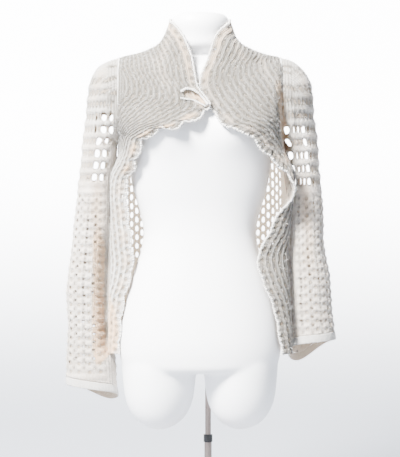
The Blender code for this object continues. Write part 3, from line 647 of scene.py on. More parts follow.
def front_grid(rows, side, step):
    """Return a front panel's middle surface and its lengths along and across, in millimetres."""
    table = np.array(rows, dtype=float)
    fine = np.linspace(table[0, 0], table[-1, 0], 900)
    line = smooth_table(rows, fine)
    run = np.maximum(run_length(line[:, 0:3]), run_length(line[:, 3:6]))
    count = int(run[-1] / step)
    places = np.interp(np.linspace(0, run[-1], count), run, fine)
    row = smooth_table(rows, places)[:, None, :]
    edge, seam = row[..., 0:3], row[..., 3:6]
    parts = np.linspace(0, 1, int(FRONT_ACROSS / step))
    angle = parts[None, :] * math.pi / 2
    out, ahead = np.sin(angle), np.cos(angle) ** FRONT_BEND[side]
    x = edge[..., 0] + (seam[..., 0] - edge[..., 0]) * out
    height = edge[..., 2] + (seam[..., 2] - edge[..., 2]) * out
    x = x + side * DROP_BULGE * np.sin(2 * angle) ** 2 * (1 - soft_step(height, 760, 810))
    y = seam[..., 1] + (edge[..., 1] - seam[..., 1]) * ahead
    clear = form_depth(x, height, 1)
    y = np.where(clear > 0, np.minimum(y, -clear - FORM_CLEARANCE), y)
    middle = np.stack((x, y, height), axis=2)
    outward = outward_of(middle, -side)
    middle = middle + outward * WALL_MIDDLE
    along = np.repeat(run_length(middle[:, len(parts) // 2])[:, None], len(parts), axis=1)
    across = run_length(middle, 1)
    scallop, warm_tint_and_shade = scallop_edge(middle, across, places, side)
    middle, warm_tint_and_shade = press_creases(middle + scallop, warm_tint_and_shade)
    # Paint warm shade in the loop's hollow and the patch at the left, or in the armhole's fold at
    # the right.
    if side < 0:
        middle, dent = press_loop(middle)
        warm_tint_and_shade = warm_tint_and_shade + dent + 0.9 * patch_shade(middle)
    else:
        warm_tint_and_shade = warm_tint_and_shade + shade_armhole(middle)
    limit = ARMHOLE_X - SEAM_HALF
    near_seam = across > across[:, -1:] - 14
    by_armhole = near_seam & (np.abs(seam[..., 0]) >= 150) & (np.abs(seam[..., 0]) <= ARMHOLE_X + 3)
    over = side * middle[..., 0] > limit
    middle[..., 0] = np.where(by_armhole & over, side * limit, middle[..., 0])
    return middle, along, across, warm_tint_and_shade


def scallop_edge(middle, across, places, side):
    """Return the shift that draws the free edge out in scallops, and its painted warm shade."""
    edge_run = run_length(middle[:, 0])
    edge_run = (edge_run - np.interp(FIRST_CUSP[side], places, edge_run))[:, None]
    tangent = unit(np.gradient(middle[:, 0], axis=0))
    outward_edge = unit(middle[:, 0] - middle[:, 1])
    outward_edge = unit(outward_edge - 0.97 * tangent * (tangent * outward_edge).sum(1)[:, None])
    outward_edge = outward_edge[:, None, :]
    low = soft_step(places, 0.47, 0.56)[:, None]
    calm = 1 - 0.6 * soft_step(places, 1.0, 1.15)[:, None]
    lobe = np.abs(np.sin(edge_run * math.pi / SCALLOP_WIDTH)) ** 0.7 - 0.6
    fine = np.sin(edge_run * 2 * math.pi / PICOT_WIDTH)
    near = np.exp(-across / 14.0)
    deep = SCALLOP_DEPTH[side]
    out = (deep * low * calm * lobe + 0.8 * fine) * near
    forward = (0.5 * deep * low * calm * lobe - 1.4 * fine * low) * np.exp(-across / 20.0)
    shift = outward_edge * out[..., None] - np.array((0.0, 1.0, 0.0)) * forward[..., None]
    collar = (1 - soft_step(places, 0.36, 0.56))[:, None]
    warm_tint_and_shade = 0.8 * collar * np.exp(-((across - 9.0) / 10.0) ** 2)
    inside = np.exp(-((across - 13.0) / 9.0) ** 2)
    warm_tint_and_shade = warm_tint_and_shade + 0.13 * deep * low * calm * np.clip(0.3 + lobe, 0, 1) * inside
    return shift, warm_tint_and_shade


def front_relief(side, along, across, width, height):
    """Return a front's slanting ribs and its drop's fine ribs, with painted shade in their hollows.
    """
    pitch = RIB_PITCH[side]
    rib = ripple(across, pitch)
    edge = soft_step(across, 3, 10) * soft_step(width - across, 3, 10)
    wave = np.sin(along * 2 * math.pi / DIMPLE_PITCH[side] + np.floor(across / pitch) * math.pi)
    low = 1 - soft_step(height, 790, 850)
    fine = ripple(width - across, FINE_RIB)
    strip = np.maximum(low if side < 0 else 0.0, 1 - soft_step(-height, -900, -860))
    strip = strip * (1 - soft_step(width - across, 17, 25))
    cables = edge * (1.2 * rib + 0.5 * wave * (0.5 - 0.5 * rib))
    hollow = (1 - strip) * edge * 0.2 * np.clip(0.5 - 0.5 * rib, 0, 1)
    relief = 0.55 * (1 - strip) * cables + 0.6 * strip * fine
    return relief, hollow + 0.25 * strip * (0.5 - 0.5 * fine)


def front_shade(side, across, width, height):
    """Return how deep a front lies in shade: the chest most, its drop and side strip less."""
    chest = soft_step(height, 740, 860)
    if side < 0:
        return 0.12 + 0.68 * chest
    return 0.76 + 0.06 * chest - 0.72 * (1 - chest) * (1 - soft_step(width - across, 14, 24))


def front_dimples(side):
    """Return the lines of dimples between a front's ribs, and its few open eyelets."""
    pitch, gap = RIB_PITCH[side], DIMPLE_PITCH[side]
    dimples, eyelets = (tuple((pitch * (number + 0.5), wide, stagger(number))
                              for number in range(14)) for wide in (3.4, 2.1))
    return ((14, 2000, gap, 4.7, dimples),), ((14 + gap, 2000, 3 * gap, 2.7, eyelets),)


def armhole_back(height):
    """Return the y of the armhole's back edge at a height."""
    middle = (ARMHOLE_TOP + ARMHOLE_BOTTOM) / 2
    reach = (height - middle) / (ARMHOLE_TOP - middle)
    return ARMHOLE_Y + ARMHOLE_DEPTH * np.sqrt(np.clip(1 - reach ** 2, 0, 1))


def back_row(parts, height):
    """Return one level row of the back, an arc from side to side round the form."""
    width = smooth_table(BACK_WIDTH, height)[0]
    depth = smooth_table(BACK_DEPTH, height)[0]
    side_y = max(armhole_back(height), SIDE_SEAM_Y * soft_step(-height, -836.0, -790.0))
    angle = np.abs(parts) * math.pi / 2
    x = np.sign(parts) * width * np.sin(angle) ** (2 / HULL_POWER)
    y = side_y + (depth - side_y) * np.clip(np.cos(angle), 0, 1) ** (2 / HULL_POWER)
    return np.stack((x, y, np.full(len(parts), float(height))), 1)


def back_top(parts):
    """Return the back's top edge: the neckline in the middle and a shoulder at each side."""
    around = np.clip(np.abs(parts) / NECK_PART, 0, 1) * math.pi / 2
    out = np.clip((np.abs(parts) - NECK_PART) / (1 - NECK_PART), 0, 1)
    x = np.where(out > 0, NECK_WIDTH + (ARMHOLE_X - NECK_WIDTH) * out, NECK_WIDTH * np.sin(around))
    y = np.where(out > 0, SEAM_HALF, NECK_DEPTH * np.cos(around) + SEAM_HALF)
    height = np.where(out > 0, smooth_table(SHOULDER, x)[:, 0], NECK_HEIGHT)
    return np.stack((np.sign(parts) * x, y, height), 1)


def back_grid(step):
    """Return the back's middle surface and its lengths along and across, in millimetres."""
    fine = np.linspace(0, 1, 400)
    run = run_length(back_row(fine, BACK_LEVEL))
    half = np.interp(np.linspace(0, run[-1], int(run[-1] / step)), run, fine)
    parts = np.concatenate((-half[:0:-1], half))
    top, yoke = back_top(parts), back_row(parts, BACK_YOKE_HEIGHT)
    grid = []
    yoke_rows = int(YOKE_LENGTH / step)
    for row in range(yoke_rows):
        turn = row / yoke_rows * math.pi / 2
        line = top + (yoke - top) * math.sin(turn)
        line[:, 2] = yoke[:, 2] + (top[:, 2] - yoke[:, 2]) * math.cos(turn)
        near = soft_step(np.abs(parts), 0.75, 1.0)
        line[:, 1] += near * (armhole_back(line[:, 2]) - line[:, 1])
        grid.append(line)
    levels = np.linspace(BACK_YOKE_HEIGHT, HEM_HEIGHT, int((BACK_YOKE_HEIGHT - HEM_HEIGHT) / step))
    grid += [back_row(parts, level) for level in levels]
    middle = np.array(grid)
    clear = form_depth(middle[..., 0], middle[..., 2], 2)
    middle[..., 1] = np.where(clear > 0, np.maximum(middle[..., 1], clear + FORM_CLEARANCE),
                              middle[..., 1])
    outward = outward_of(middle, 1)
    middle = middle + outward * WALL_MIDDLE
    beside = (np.abs(parts) > 0.97)[None, :] & (middle[..., 2] > ARMHOLE_BOTTOM - 6)
    limit = ARMHOLE_X - SEAM_HALF
    middle[..., 0] = np.where(beside, np.clip(middle[..., 0], -limit, limit), middle[..., 0])
    centre = len(parts) // 2
    along = np.repeat(run_length(middle[:, centre + centre // 2])[:, None], len(parts), axis=1)
    across = run_length(middle, 1)
    across = across - across[:, centre:centre + 1]
    return middle, along, across


def back_holes(half_width):
    """Return the back's openings: an open net at both sides and eyelets between."""
    net, eyelets = [], []
    for number in range(9):
        place = NET_FROM + NET_PITCH * number
        if place < half_width - 10:
            net.append((-place, 4.0, stagger(number)))
            if number < NET_RIGHT_COLUMNS:
                net.append((place, 4.0, stagger(number)))
    for number in range(7):
        place = 9 + SMALL_KNIT * number
        eyelets += [(place, 2.8, stagger(number)), (-place, 2.8, stagger(number))]
    return ((196, 510, 19.0, 6.9, tuple(net)), (40, 640, SMALL_KNIT, 3.3, tuple(eyelets)))


def sleeve_grid(side_name, places, angles):
    """Return a sleeve's inside: rows along it, columns by angle from its outer line."""
    rows = SLEEVES[side_name]
    table = smooth_table(rows, places)[:, None, :]
    outer_side, inner_side = table[..., 0:2], table[..., 2:4]
    half_depth, middle_y = table[..., 4], table[..., 5]
    angle = np.radians(np.asarray(angles, dtype=float))[None, :]
    middle, reach = (outer_side + inner_side) / 2, (outer_side - inner_side) / 2
    across = np.cos(angle)
    x = middle[..., 0] + reach[..., 0] * across
    height = middle[..., 1] + reach[..., 1] * across
    y = middle_y - half_depth * np.sin(angle)
    place = np.asarray(places, dtype=float)[:, None]
    end = rows[-1][0]
    low = soft_step(place, end - HEM_DROP_LENGTH, end)
    behind = np.exp(-((np.abs(np.degrees(angle) - 235)) / 62) ** 2)
    height = height - HEM_DROP[side_name] * low * behind
    if side_name == "left":
        down = between(place, (FOLD_START, FOLD_START + FOLD_FADE),
                       (FOLD_END - FOLD_FADE, FOLD_END))
        trough = np.exp(-((np.degrees(angle) - FOLD_ANGLE) / FOLD_WIDTH) ** 2)
        y = y + FOLD_DEPTH * down * trough
    return np.stack((x, y, height), axis=2)


def sleeve_angles():
    """Return the columns round a sleeve, closer together in its ribbed strip."""
    plain = np.arange(0.0, STRIP_FROM, COLUMN_STEP)
    strip = np.arange(STRIP_FROM, STRIP_TO, STRIP_PITCH / 4)
    rest = np.arange(STRIP_TO, 358.0, COLUMN_STEP)
    return np.concatenate((plain, strip, rest))


def sleeve_levels(side_name, middle):
    """Return how far below the shoulder each point lies, and its angle in its own level slice."""
    rows = SLEEVES[side_name]
    table = np.array(rows, dtype=float)[::-1]
    x, height = middle[..., 0], middle[..., 2]
    outer = np.interp(height, table[:, 2], table[:, 1])
    inner = np.interp(height, table[:, 4], table[:, 3])
    half = (outer - inner) / 2
    half = np.where(np.abs(half) < 5.0, 5.0, half)
    reach = np.clip((x - (outer + inner) / 2) / half, -0.999, 0.999)
    level = np.degrees(np.arccos(reach))
    plain = sleeve_angles()[None, :]
    level = np.where(plain > 180.0, 360.0 - level, level)
    along = SHOULDER_LEVEL - height
    part = soft_step(along, 70, 105) * soft_step(np.minimum(plain, 360 - plain), 4, 20)
    part = part * soft_step(np.abs(plain - 180), 3, 16)
    return along, plain + (level - plain) * part


def sleeve_relief(side_name, along, across, beside):
    """Return a sleeve's puffed rows and ribs, with painted hollow shade; beside is from x = 0."""
    start = STRIP_FROM + (15.0 * (1 - soft_step(along, 200, 300)) if side_name == "right" else 0.0)
    strip = between(across, (start - 1, start + 1), (STRIP_TO - 1, STRIP_TO + 1))
    ribs = 1.3 * np.cos((across - STRIP_FROM) * 2 * math.pi / STRIP_PITCH + math.pi)
    upper = 1 - soft_step(along, 258, 282)
    puff = upper * ripple(along - 122.0, ROW_PITCH[side_name])
    lower = (1 - upper) * ripple(along - 287, SMALL_KNIT)
    begin = soft_step(along, 25, 75)
    head = (1 - soft_step(along, 100, 130)) * (1 - soft_step(beside, 188, 198))
    fine = ripple(beside, FINE_RIB)
    strip = strip * (1 - head)
    rows = (1 - strip) * (1 - head) * begin
    hollow = rows * (0.1 + 0.1 * puff + 0.06 * lower)
    hollow = hollow + 0.3 * strip * (0.5 - 0.38 * ribs) + 0.25 * head * (0.5 - 0.5 * fine)
    # Painted shade over the sleeve's head.
    hollow = hollow + 0.45 * (1 - soft_step(along, 80, 150))
    # The right strip gets less painted shade: painted light where it lies in real shadow.
    if side_name == "right":
        hollow = hollow - 0.3 * strip
    return strip * ribs + 0.9 * head * fine + rows * (-1.0 * puff - 0.9 * lower), hollow


def sleeve_dimples(side_name):
    """Return the dimples of a sleeve: tall ones in its upper rows, staggered ones below."""
    first, last = FIRST_DIMPLE[side_name], SMALL_KNIT_FROM[side_name]
    tall = tuple((place, 3.6, 0) for place in np.arange(8, 352, 13.0)
                 if not STRIP_FROM - 2 < place < STRIP_TO + 2)
    small = tuple((place, 3.6, stagger(number))
                  for number, place in enumerate(np.arange(12, 350, 13.0))
                  if not STRIP_FROM - 4 < place < STRIP_TO + 4)
    return ((16, first - 12, 9.0, 2.6, small), (first, last, ROW_PITCH[side_name], 7.6, tall),
            (last, 660, SMALL_KNIT, 3.6, small))


def fill(tree, node, inputs):
    """Set a node's inputs, by name or number, to values or to other nodes' sockets."""
    for key, value in inputs.items():
        if isinstance(value, bpy.types.NodeSocket):
            tree.links.new(value, node.inputs[key])
        else:
            node.inputs[key].default_value = value
    return node


def put(tree, kind, inputs=None, **settings):
    """Add a node with its settings and inputs."""
    node = tree.nodes.new(kind)
    for name, value in settings.items():
        setattr(node, name, value)
    return fill(tree, node, inputs or {})


def open_tree(name, kind, inputs, outputs):
    """Start a node tree with named sockets, and return it with its inlet and its outlet."""
    tree = bpy.data.node_groups.new(name, kind)
    for direction, sockets in (("INPUT", inputs), ("OUTPUT", outputs)):
        for label, form, *value in sockets:
            socket = tree.interface.new_socket(label, in_out=direction,
                                               socket_type="NodeSocket" + form)
            if value:
                socket.default_value = value[0]
    return tree, tree.nodes.new("NodeGroupInput").outputs, tree.nodes.new("NodeGroupOutput").inputs


def add_noise(tree, vector, scale, detail=3.0, roughness=0.55):
    """Place a noise texture that reads a vector, and return its factor."""
    return put(tree, "ShaderNodeTexNoise", {"Vector": vector, "Scale": scale, "Detail": detail,
                                            "Roughness": roughness}).outputs["Fac"]


def reckon(tree, operation, first, second=0.0):
    """Place a maths node on two sockets or numbers, and return its value."""
    return put(tree, "ShaderNodeMath", {0: first, 1: second}, operation=operation).outputs[0]


def knit_relief_group():
    """Return the shader group that gives the height of knitted stitches and loose fibre."""
    found = bpy.data.node_groups.get("knit_relief")
    if found:
        return found
    tree, enter, leave = open_tree(
        "knit_relief", "ShaderNodeTree",
        (("Vector", "Vector"), ("Stitch Width", "Float", 0.0042), ("Fibre", "Float", 0.6)),
        (("Height", "Float"),))
    place = put(tree, "ShaderNodeSeparateXYZ", {0: enter["Vector"]}).outputs
    lean = reckon(tree, "PINGPONG", reckon(tree, "DIVIDE", place[0], enter["Stitch Width"]), 0.5)
    rise = reckon(tree, "DIVIDE", place[1], enter["Stitch Width"])
    slanted = reckon(tree, "ADD", reckon(tree, "MULTIPLY", rise, 1.4), lean)
    row = reckon(tree, "SINE", reckon(tree, "MULTIPLY", slanted, 6.2832))
    column = reckon(tree, "MULTIPLY", lean, 2.0)
    stitch = reckon(tree, "ADD", reckon(tree, "MULTIPLY", row, 0.35), column)
    fine = add_noise(tree, enter["Vector"], 900.0, 4.0, 0.65)
    loose = reckon(tree, "MULTIPLY", fine, enter["Fibre"])
    tree.links.new(reckon(tree, "ADD", stitch, loose), leave["Height"])
    return tree


def mottle_group():
    """Return the shader group that mixes two tones by soft cloudy noise at two scales."""
    found = bpy.data.node_groups.get("soft_mottle")
    if found:
        return found
    tree, enter, leave = open_tree(
        "soft_mottle", "ShaderNodeTree",
        (("Vector", "Vector"), ("Light Tone", "Color"), ("Deep Tone", "Color"),
         ("Cloud Scale", "Float", 14.0)),
        (("Color", "Color"), ("Mask", "Float")))
    cloud = put(tree, "ShaderNodeTexNoise", {"Vector": enter["Vector"], "Detail": 2.0,
                                             "Scale": enter["Cloud Scale"]}).outputs["Fac"]
    fine = add_noise(tree, enter["Vector"], 260.0)
    total = reckon(tree, "ADD", reckon(tree, "MULTIPLY", cloud, 0.6),
                   reckon(tree, "MULTIPLY", fine, 0.4))
    ramp = put(tree, "ShaderNodeMapRange", {"From Min": 0.36, "From Max": 0.64, "Value": total})
    mask = ramp.outputs["Result"]
    mix = put(tree, "ShaderNodeMix", {"Factor": mask, "A": enter["Light Tone"],
                                      "B": enter["Deep Tone"]}, data_type="RGBA")
    tree.links.new(mix.outputs["Result"], leave["Color"])
    tree.links.new(mask, leave["Mask"])
    return tree


def place_group(tree, group, **values):
    """Place a shader group with its own values or sockets."""
    return put(tree, "ShaderNodeGroup", {name.replace("_", " ").title(): value
                                         for name, value in values.items()}, node_tree=group)


def new_material(name):
    """Return an empty material with its tree, its Principled shader and its coordinates."""
    material = bpy.data.materials.new(name)
    material.use_nodes = True
    tree = material.node_tree
    place = tree.nodes.new("ShaderNodeTexCoord").outputs
    return material, tree, tree.nodes["Principled BSDF"], place


def mottled(tree, vector, light, deep, scale):
    """Place the cloudy mix of two tones, and return its outputs."""
    return place_group(tree, mottle_group(), vector=vector, light_tone=(*light, 1),
                       deep_tone=(*deep, 1), cloud_scale=scale).outputs


def bumps(tree, height, strength, distance):
    """Place a bump that reads a height in metres, and return its normal."""
    return put(tree, "ShaderNodeBump", {"Height": height, "Strength": strength,
                                        "Distance": distance}).outputs["Normal"]


def mark_of(tree, name):
    """Return a mark of the mesh's vertices as a value."""
    return put(tree, "ShaderNodeAttribute", attribute_name=name).outputs["Fac"]


def wool_material(name, tones, stitch, bump, fibre):
    """Return knitted ivory wool with hairs; tones: light, deep, painted hollow and fold shade."""
    if name in bpy.data.materials:
        return bpy.data.materials[name]
    material, tree, shader, place = new_material(name)
    light, deep, hollow, fold = tones
    colour = mottled(tree, place["Object"], light, deep, 18.0)["Color"]
    # Shade is painted in: the fold tone by the fold mark, then the hollow tone by the stitch mark.
    for mark, darker in (("warm_tint_and_shade", fold), ("painted_shade", hollow)):
        colour = put(tree, "ShaderNodeMix", {"Factor": mark_of(tree, mark), "A": colour,
                                             "B": (*darker, 1)}, data_type="RGBA").outputs["Result"]
    knit = place_group(tree, knit_relief_group(), vector=place["UV"], stitch_width=stitch,
                       fibre=fibre).outputs["Height"]
    # The emission is a painted warm glow on the marked inside faces, for light through the wool.
    fill(tree, shader, {
        "Base Color": colour, "Normal": bumps(tree, knit, bump, 0.0016),
        "Emission Color": (0.78, 0.6, 0.42, 1), "Emission Strength": mark_of(tree, "painted_glow"),
        "Roughness": 0.92, "Specular IOR Level": 0.1, "Sheen Weight": 0.15,
        "Sheen Roughness": 0.6, "Subsurface Weight": 0.25, "Subsurface Scale": 0.0012,
        "Subsurface Radius": (1.0, 0.85, 0.65)})
    return material


def plastic_material(name, light, deep, roughness):
    """Return smooth moulded plastic with a faint mottle and a very fine grain."""
    material, tree, shader, place = new_material(name)
    tone = mottled(tree, place["Object"], light, deep, 5.0)
    grain = add_noise(tree, place["Object"], 700.0, 2.0)
    worn = put(tree, "ShaderNodeMapRange", {"To Min": roughness - 0.05, "To Max": roughness + 0.07,
                                            "Value": tone["Mask"]})
    fill(tree, shader, {"Base Color": tone["Color"], "Normal": bumps(tree, grain, 0.06, 0.0003),
                        "Roughness": worn.outputs["Result"], "Specular IOR Level": 0.4})
    return material


def metal_material(name, light, deep):
    """Return warm brushed nickel, its fine lines drawn along the pole."""
    material, tree, shader, place = new_material(name)
    stretch = put(tree, "ShaderNodeMapping", {"Vector": place["Object"],
                                              "Scale": (60.0, 60.0, 1.5)})
    lines = add_noise(tree, stretch.outputs["Vector"], 30.0, 4.0)
    rough = put(tree, "ShaderNodeMapRange", {"To Min": 0.24, "To Max": 0.42, "Value": lines})
    fill(tree, shader, {
        "Base Color": mottled(tree, place["Object"], light, deep, 9.0)["Color"],
        "Roughness": rough.outputs["Result"], "Normal": bumps(tree, lines, 0.12, 0.0002),
        "Metallic": 1.0})
    return material


def distance_property(name, description, default, low, high):
    """Return a setting that is a length in metres."""
    return FloatProperty(name=name, description=description, default=default, min=low, max=high,
                         subtype="DISTANCE", unit="LENGTH")


def colour_property(name, description, default):
    """Return a setting that is a colour."""
    return FloatVectorProperty(name=name, description=description, default=default,
                               subtype="COLOR")


class KnitSettings(bpy.types.PropertyGroup):
    """Sizes and colours of the knitted cloth."""
    cell: distance_property("Cell", "Size of the knitted shell's cells", 0.0031, 0.002, 0.01)
    thickness: distance_property("Thickness", "Thickness of the knitted cloth", 0.0024, 0.001,
                                 0.005)
    stitch: distance_property("Stitch", "Width of one knitted stitch", 0.0042, 0.001, 0.02)
    hair_length: distance_property("Hair length", "Length of the wool's loose hairs", 0.0065,
                                   0.001, 0.02)
    hair_density: FloatProperty(name="Hair density", description="Loose hairs on a square metre",
                                default=26000.0, min=0.0, max=200000.0)
    light_tone: colour_property("Light tone", "Lighter tone of the wool", (0.66, 0.645, 0.615))
    deep_tone: colour_property("Deep tone", "Deeper tone of the wool", (0.43, 0.41, 0.375))
    # The hollow tone is painted shade deep in the stitches.
    hollow_shade_tone: colour_property("Hollow tone", "Tone deep in the stitches",
                                 (0.085, 0.076, 0.062))
    # The fold tone is painted warm shade deep in the folds.
    fold_shade_tone: colour_property("Fold tone", "Tone deep in the folds", (0.60, 0.42, 0.27))


class StandSettings(bpy.types.PropertyGroup):
    """Sizes and colours of the dress form and its stand."""
    voxel: distance_property("Skin cell", "Size of the faces on the dress form", 0.004, 0.002,
                             0.02)
    segments: IntProperty(name="Segments", description="Faces round the base and the pole",
                          default=96, min=12, max=256)
    form_tone: colour_property("Form", "Colour of the dress form", (0.90, 0.91, 0.93))
    metal_tone: colour_property("Metal", "Colour of the pole and base", (0.26, 0.215, 0.195))


class StageSettings(bpy.types.PropertyGroup):
    """Colours and light of the stage."""
    key_power: FloatProperty(name="Key light", description="Power of the main light",
                             default=2050.0, min=0.0, unit="POWER")
    fill_power: FloatProperty(name="Fill light", description="Power of the fill light",
                              default=14.0, min=0.0, unit="POWER")
    sky: colour_property("Sky", "Colour of the light from all round", (0.70, 0.82, 1.0))
    sky_strength: FloatProperty(name="Sky strength", description="Strength of that light",
                                default=0.26, min=0.0)
    lens: FloatProperty(name="Lens", description="Focal length of the camera in millimetres",
                        default=120.0, min=20.0, max=300.0)


def cloth_of(settings):
    """Return the knitted wool in the panel's tones."""
    tones = (settings.light_tone, settings.deep_tone, settings.hollow_shade_tone, settings.fold_shade_tone)
    return wool_material("ivory_wool", tones, settings.stitch, 0.6, 0.8)


def cord_of(settings, shaded=False):
    """Return the denser wool of the cords and cuffs, or the same with painted fold shade."""
    light, deep = [0.82 * part for part in settings.light_tone], settings.light_tone
    if shaded:
        light = deep = settings.fold_shade_tone
    name = "ivory_crochet_shaded" if shaded else "ivory_crochet"
    tones = (light, deep, settings.hollow_shade_tone, settings.fold_shade_tone)
    return wool_material(name, tones, 0.0035, 0.4, 0.8)


def finish_tree(tree, geometry, leave, material, smooth=False):
    """Realize a tree's instances, smooth and paint them, and lead them out."""
    shape = put(tree, "GeometryNodeRealizeInstances", {"Geometry": geometry}).outputs["Geometry"]
    if smooth:
        shape = put(tree, "GeometryNodeSetShadeSmooth", {"Geometry": shape}).outputs["Geometry"]
    paint = put(tree, "GeometryNodeSetMaterial", {"Geometry": shape, "Material": material})
    tree.links.new(paint.outputs["Geometry"], leave["Geometry"])
    return tree


def strand_tree(material):
    """Build the Geometry Nodes tree that sets short bent hairs all over a cloth."""
    tree, enter, leave = open_tree(
        "wool_hairs", "GeometryNodeTree",
        (("Geometry", "Geometry"), ("Density", "Float", 26000.0), ("Hair Length", "Float", 0.0065),
         ("Hair Width", "Float", HAIR_WIDTH), ("Seed", "Int", 7)), (("Geometry", "Geometry"),))
    seed, length = enter["Seed"], enter["Hair Length"]
    scatter = put(tree, "GeometryNodeDistributePointsOnFaces",
                  {"Mesh": enter["Geometry"], "Density": enter["Density"], "Seed": seed})
    bend = put(tree, "GeometryNodeCurveQuadraticBezier", {
        "Resolution": 2, "Start": (0.0, 0.0, -0.1), "Middle": (0.0, 0.0, 0.55),
        "End": (0.55, 0.0, 0.85)})
    profile = put(tree, "GeometryNodeCurvePrimitiveLine", {"Start": (-0.5, 0.0, 0.0),
                                                           "End": (0.5, 0.0, 0.0)})
    ratio = reckon(tree, "DIVIDE", enter["Hair Width"], length)
    widen = put(tree, "ShaderNodeCombineXYZ", {axis: ratio for axis in range(3)})
    thin = put(tree, "GeometryNodeTransform", {"Geometry": profile.outputs["Curve"],
                                               "Scale": widen.outputs["Vector"]})
    hair = put(tree, "GeometryNodeCurveToMesh", {"Curve": bend.outputs["Curve"],
                                                 "Profile Curve": thin.outputs["Geometry"]})
    vary = put(tree, "FunctionNodeRandomValue", {2: 0.45, 3: 1.25, "Seed": seed})
    spread = put(tree, "GeometryNodeInstanceOnPoints", {
        "Points": scatter.outputs["Points"], "Instance": hair.outputs["Mesh"],
        "Rotation": scatter.outputs["Rotation"],
        "Scale": reckon(tree, "MULTIPLY", vary.outputs[1], length)})
    lean = put(tree, "FunctionNodeRandomValue",
               {0: (-1.1, -1.1, 0.0), 1: (1.1, 1.1, 6.283), "Seed": seed}, data_type="FLOAT_VECTOR")
    turn = put(tree, "GeometryNodeRotateInstances", {"Instances": spread.outputs["Instances"],
                                                     "Rotation": lean.outputs[0]})
    return finish_tree(tree, turn.outputs["Instances"], leave, material)


def edging_tree(material):
    """Build the Geometry Nodes tree that works round crochet stitches along an edge."""
    tree, enter, leave = open_tree(
        "crochet_edging", "GeometryNodeTree",
        (("Geometry", "Geometry"), ("Pitch", "Float", 0.0042), ("Stitch Size", "Float", 0.0032),
         ("Cord Radius", "Float", 0.0021), ("Seed", "Int", 3)), (("Geometry", "Geometry"),))
    line = put(tree, "GeometryNodeMeshToCurve", {"Mesh": enter["Geometry"]})
    even = put(tree, "GeometryNodeResampleCurve", {"Curve": line.outputs["Curve"],
                                                   "Length": enter["Pitch"]}, mode="LENGTH")
    ring = put(tree, "GeometryNodeCurvePrimitiveCircle", {"Resolution": 8,
                                                          "Radius": enter["Cord Radius"]})
    core = put(tree, "GeometryNodeCurveToMesh", {
        "Curve": even.outputs["Curve"], "Profile Curve": ring.outputs["Curve"],
        "Fill Caps": True})
    ball = put(tree, "GeometryNodeMeshIcoSphere", {"Radius": 1.0, "Subdivisions": 2})
    flat = put(tree, "GeometryNodeTransform", {"Geometry": ball.outputs["Mesh"],
                                               "Scale": (1.0, 0.62, 1.0)})
    tangent = put(tree, "GeometryNodeInputTangent").outputs["Tangent"]
    aim = put(tree, "FunctionNodeAlignEulerToVector", {"Vector": tangent}, axis="Y")
    vary = put(tree, "FunctionNodeRandomValue", {2: 0.85, 3: 1.2, "Seed": enter["Seed"]})
    spread = put(tree, "GeometryNodeInstanceOnPoints", {
        "Points": even.outputs["Curve"], "Instance": flat.outputs["Geometry"],
        "Rotation": aim.outputs["Rotation"],
        "Scale": reckon(tree, "MULTIPLY", vary.outputs[1], enter["Stitch Size"])})
    join = put(tree, "GeometryNodeJoinGeometry", {"Geometry": spread.outputs["Instances"]})
    tree.links.new(core.outputs["Mesh"], join.inputs["Geometry"])
    return finish_tree(tree, join.outputs["Geometry"], leave, material, smooth=True)


def grow(name, carrier, tree, values):
    """Run a Geometry Nodes tree on a copy of a piece and keep its result as a plain mesh."""
    piece = bpy.data.objects.new(name, carrier.data.copy())
    bpy.context.scene.collection.objects.link(piece)
    nodes = piece.modifiers.new(name, "NODES")
    nodes.node_group = tree
    for item in tree.interface.items_tree:
        if item.in_out == "INPUT" and item.name in values:
            nodes[item.identifier] = values[item.name]
    bpy.context.view_layer.update()
    return apply_modifiers(piece)


def stitched_line(name, points, settings, pitch, size, radius):
    """Work crochet stitches along a line of points in the form's millimetres."""
    mesh = bpy.data.meshes.new(name + "_path")
    shift = np.array((FORM_X, FORM_Y, 0.0))
    mesh.from_pydata(((points + shift) * MM).tolist(),
                     [(place, place + 1) for place in range(len(points) - 1)], [])
    carrier = bpy.data.objects.new(name + "_path", mesh)
    tree = bpy.data.node_groups.get("crochet_edging") or edging_tree(cord_of(settings))
    piece = grow(name, carrier, tree, {"Pitch": pitch, "Stitch Size": size,
                                       "Cord Radius": radius})
    bpy.data.objects.remove(carrier)
    return piece


def closed_ring(half_width, front, back, height, power, sides, x=0.0, y=0.0):
    """Return one level ring, a rounded box whose corners the power sets."""
    angle = np.arange(sides) * 2 * math.pi / sides
    across = np.sign(np.cos(angle)) * np.abs(np.cos(angle)) ** (2 / power)
    deep = np.sign(np.sin(angle)) * np.abs(np.sin(angle)) ** (2 / power)
    depth = np.where(deep < 0, front, back)
    return np.stack((x + half_width * across, y + depth * deep, np.full(sides, float(height))), 1)


def loft_faces(rings, count, start=0):
    """Return the faces between a stack of rings, with a cap at each end."""
    faces = []
    for row in range(rings - 1):
        for side in range(count):
            ahead = (side + 1) % count
            low, high = start + row * count, start + (row + 1) * count
            faces.append((low + side, low + ahead, high + ahead, high + side))
    faces.append(tuple(range(start + count - 1, start - 1, -1)))
    top = start + (rings - 1) * count
    faces.append(tuple(range(top, top + count)))
    return faces


def turned_rings(profile, sides):
    """Return rings round the pole's axis from rows of radius and height."""
    return np.concatenate([closed_ring(radius, radius, radius, height, 2.0, sides, -FORM_X, -FORM_Y)
                           for radius, height in profile])


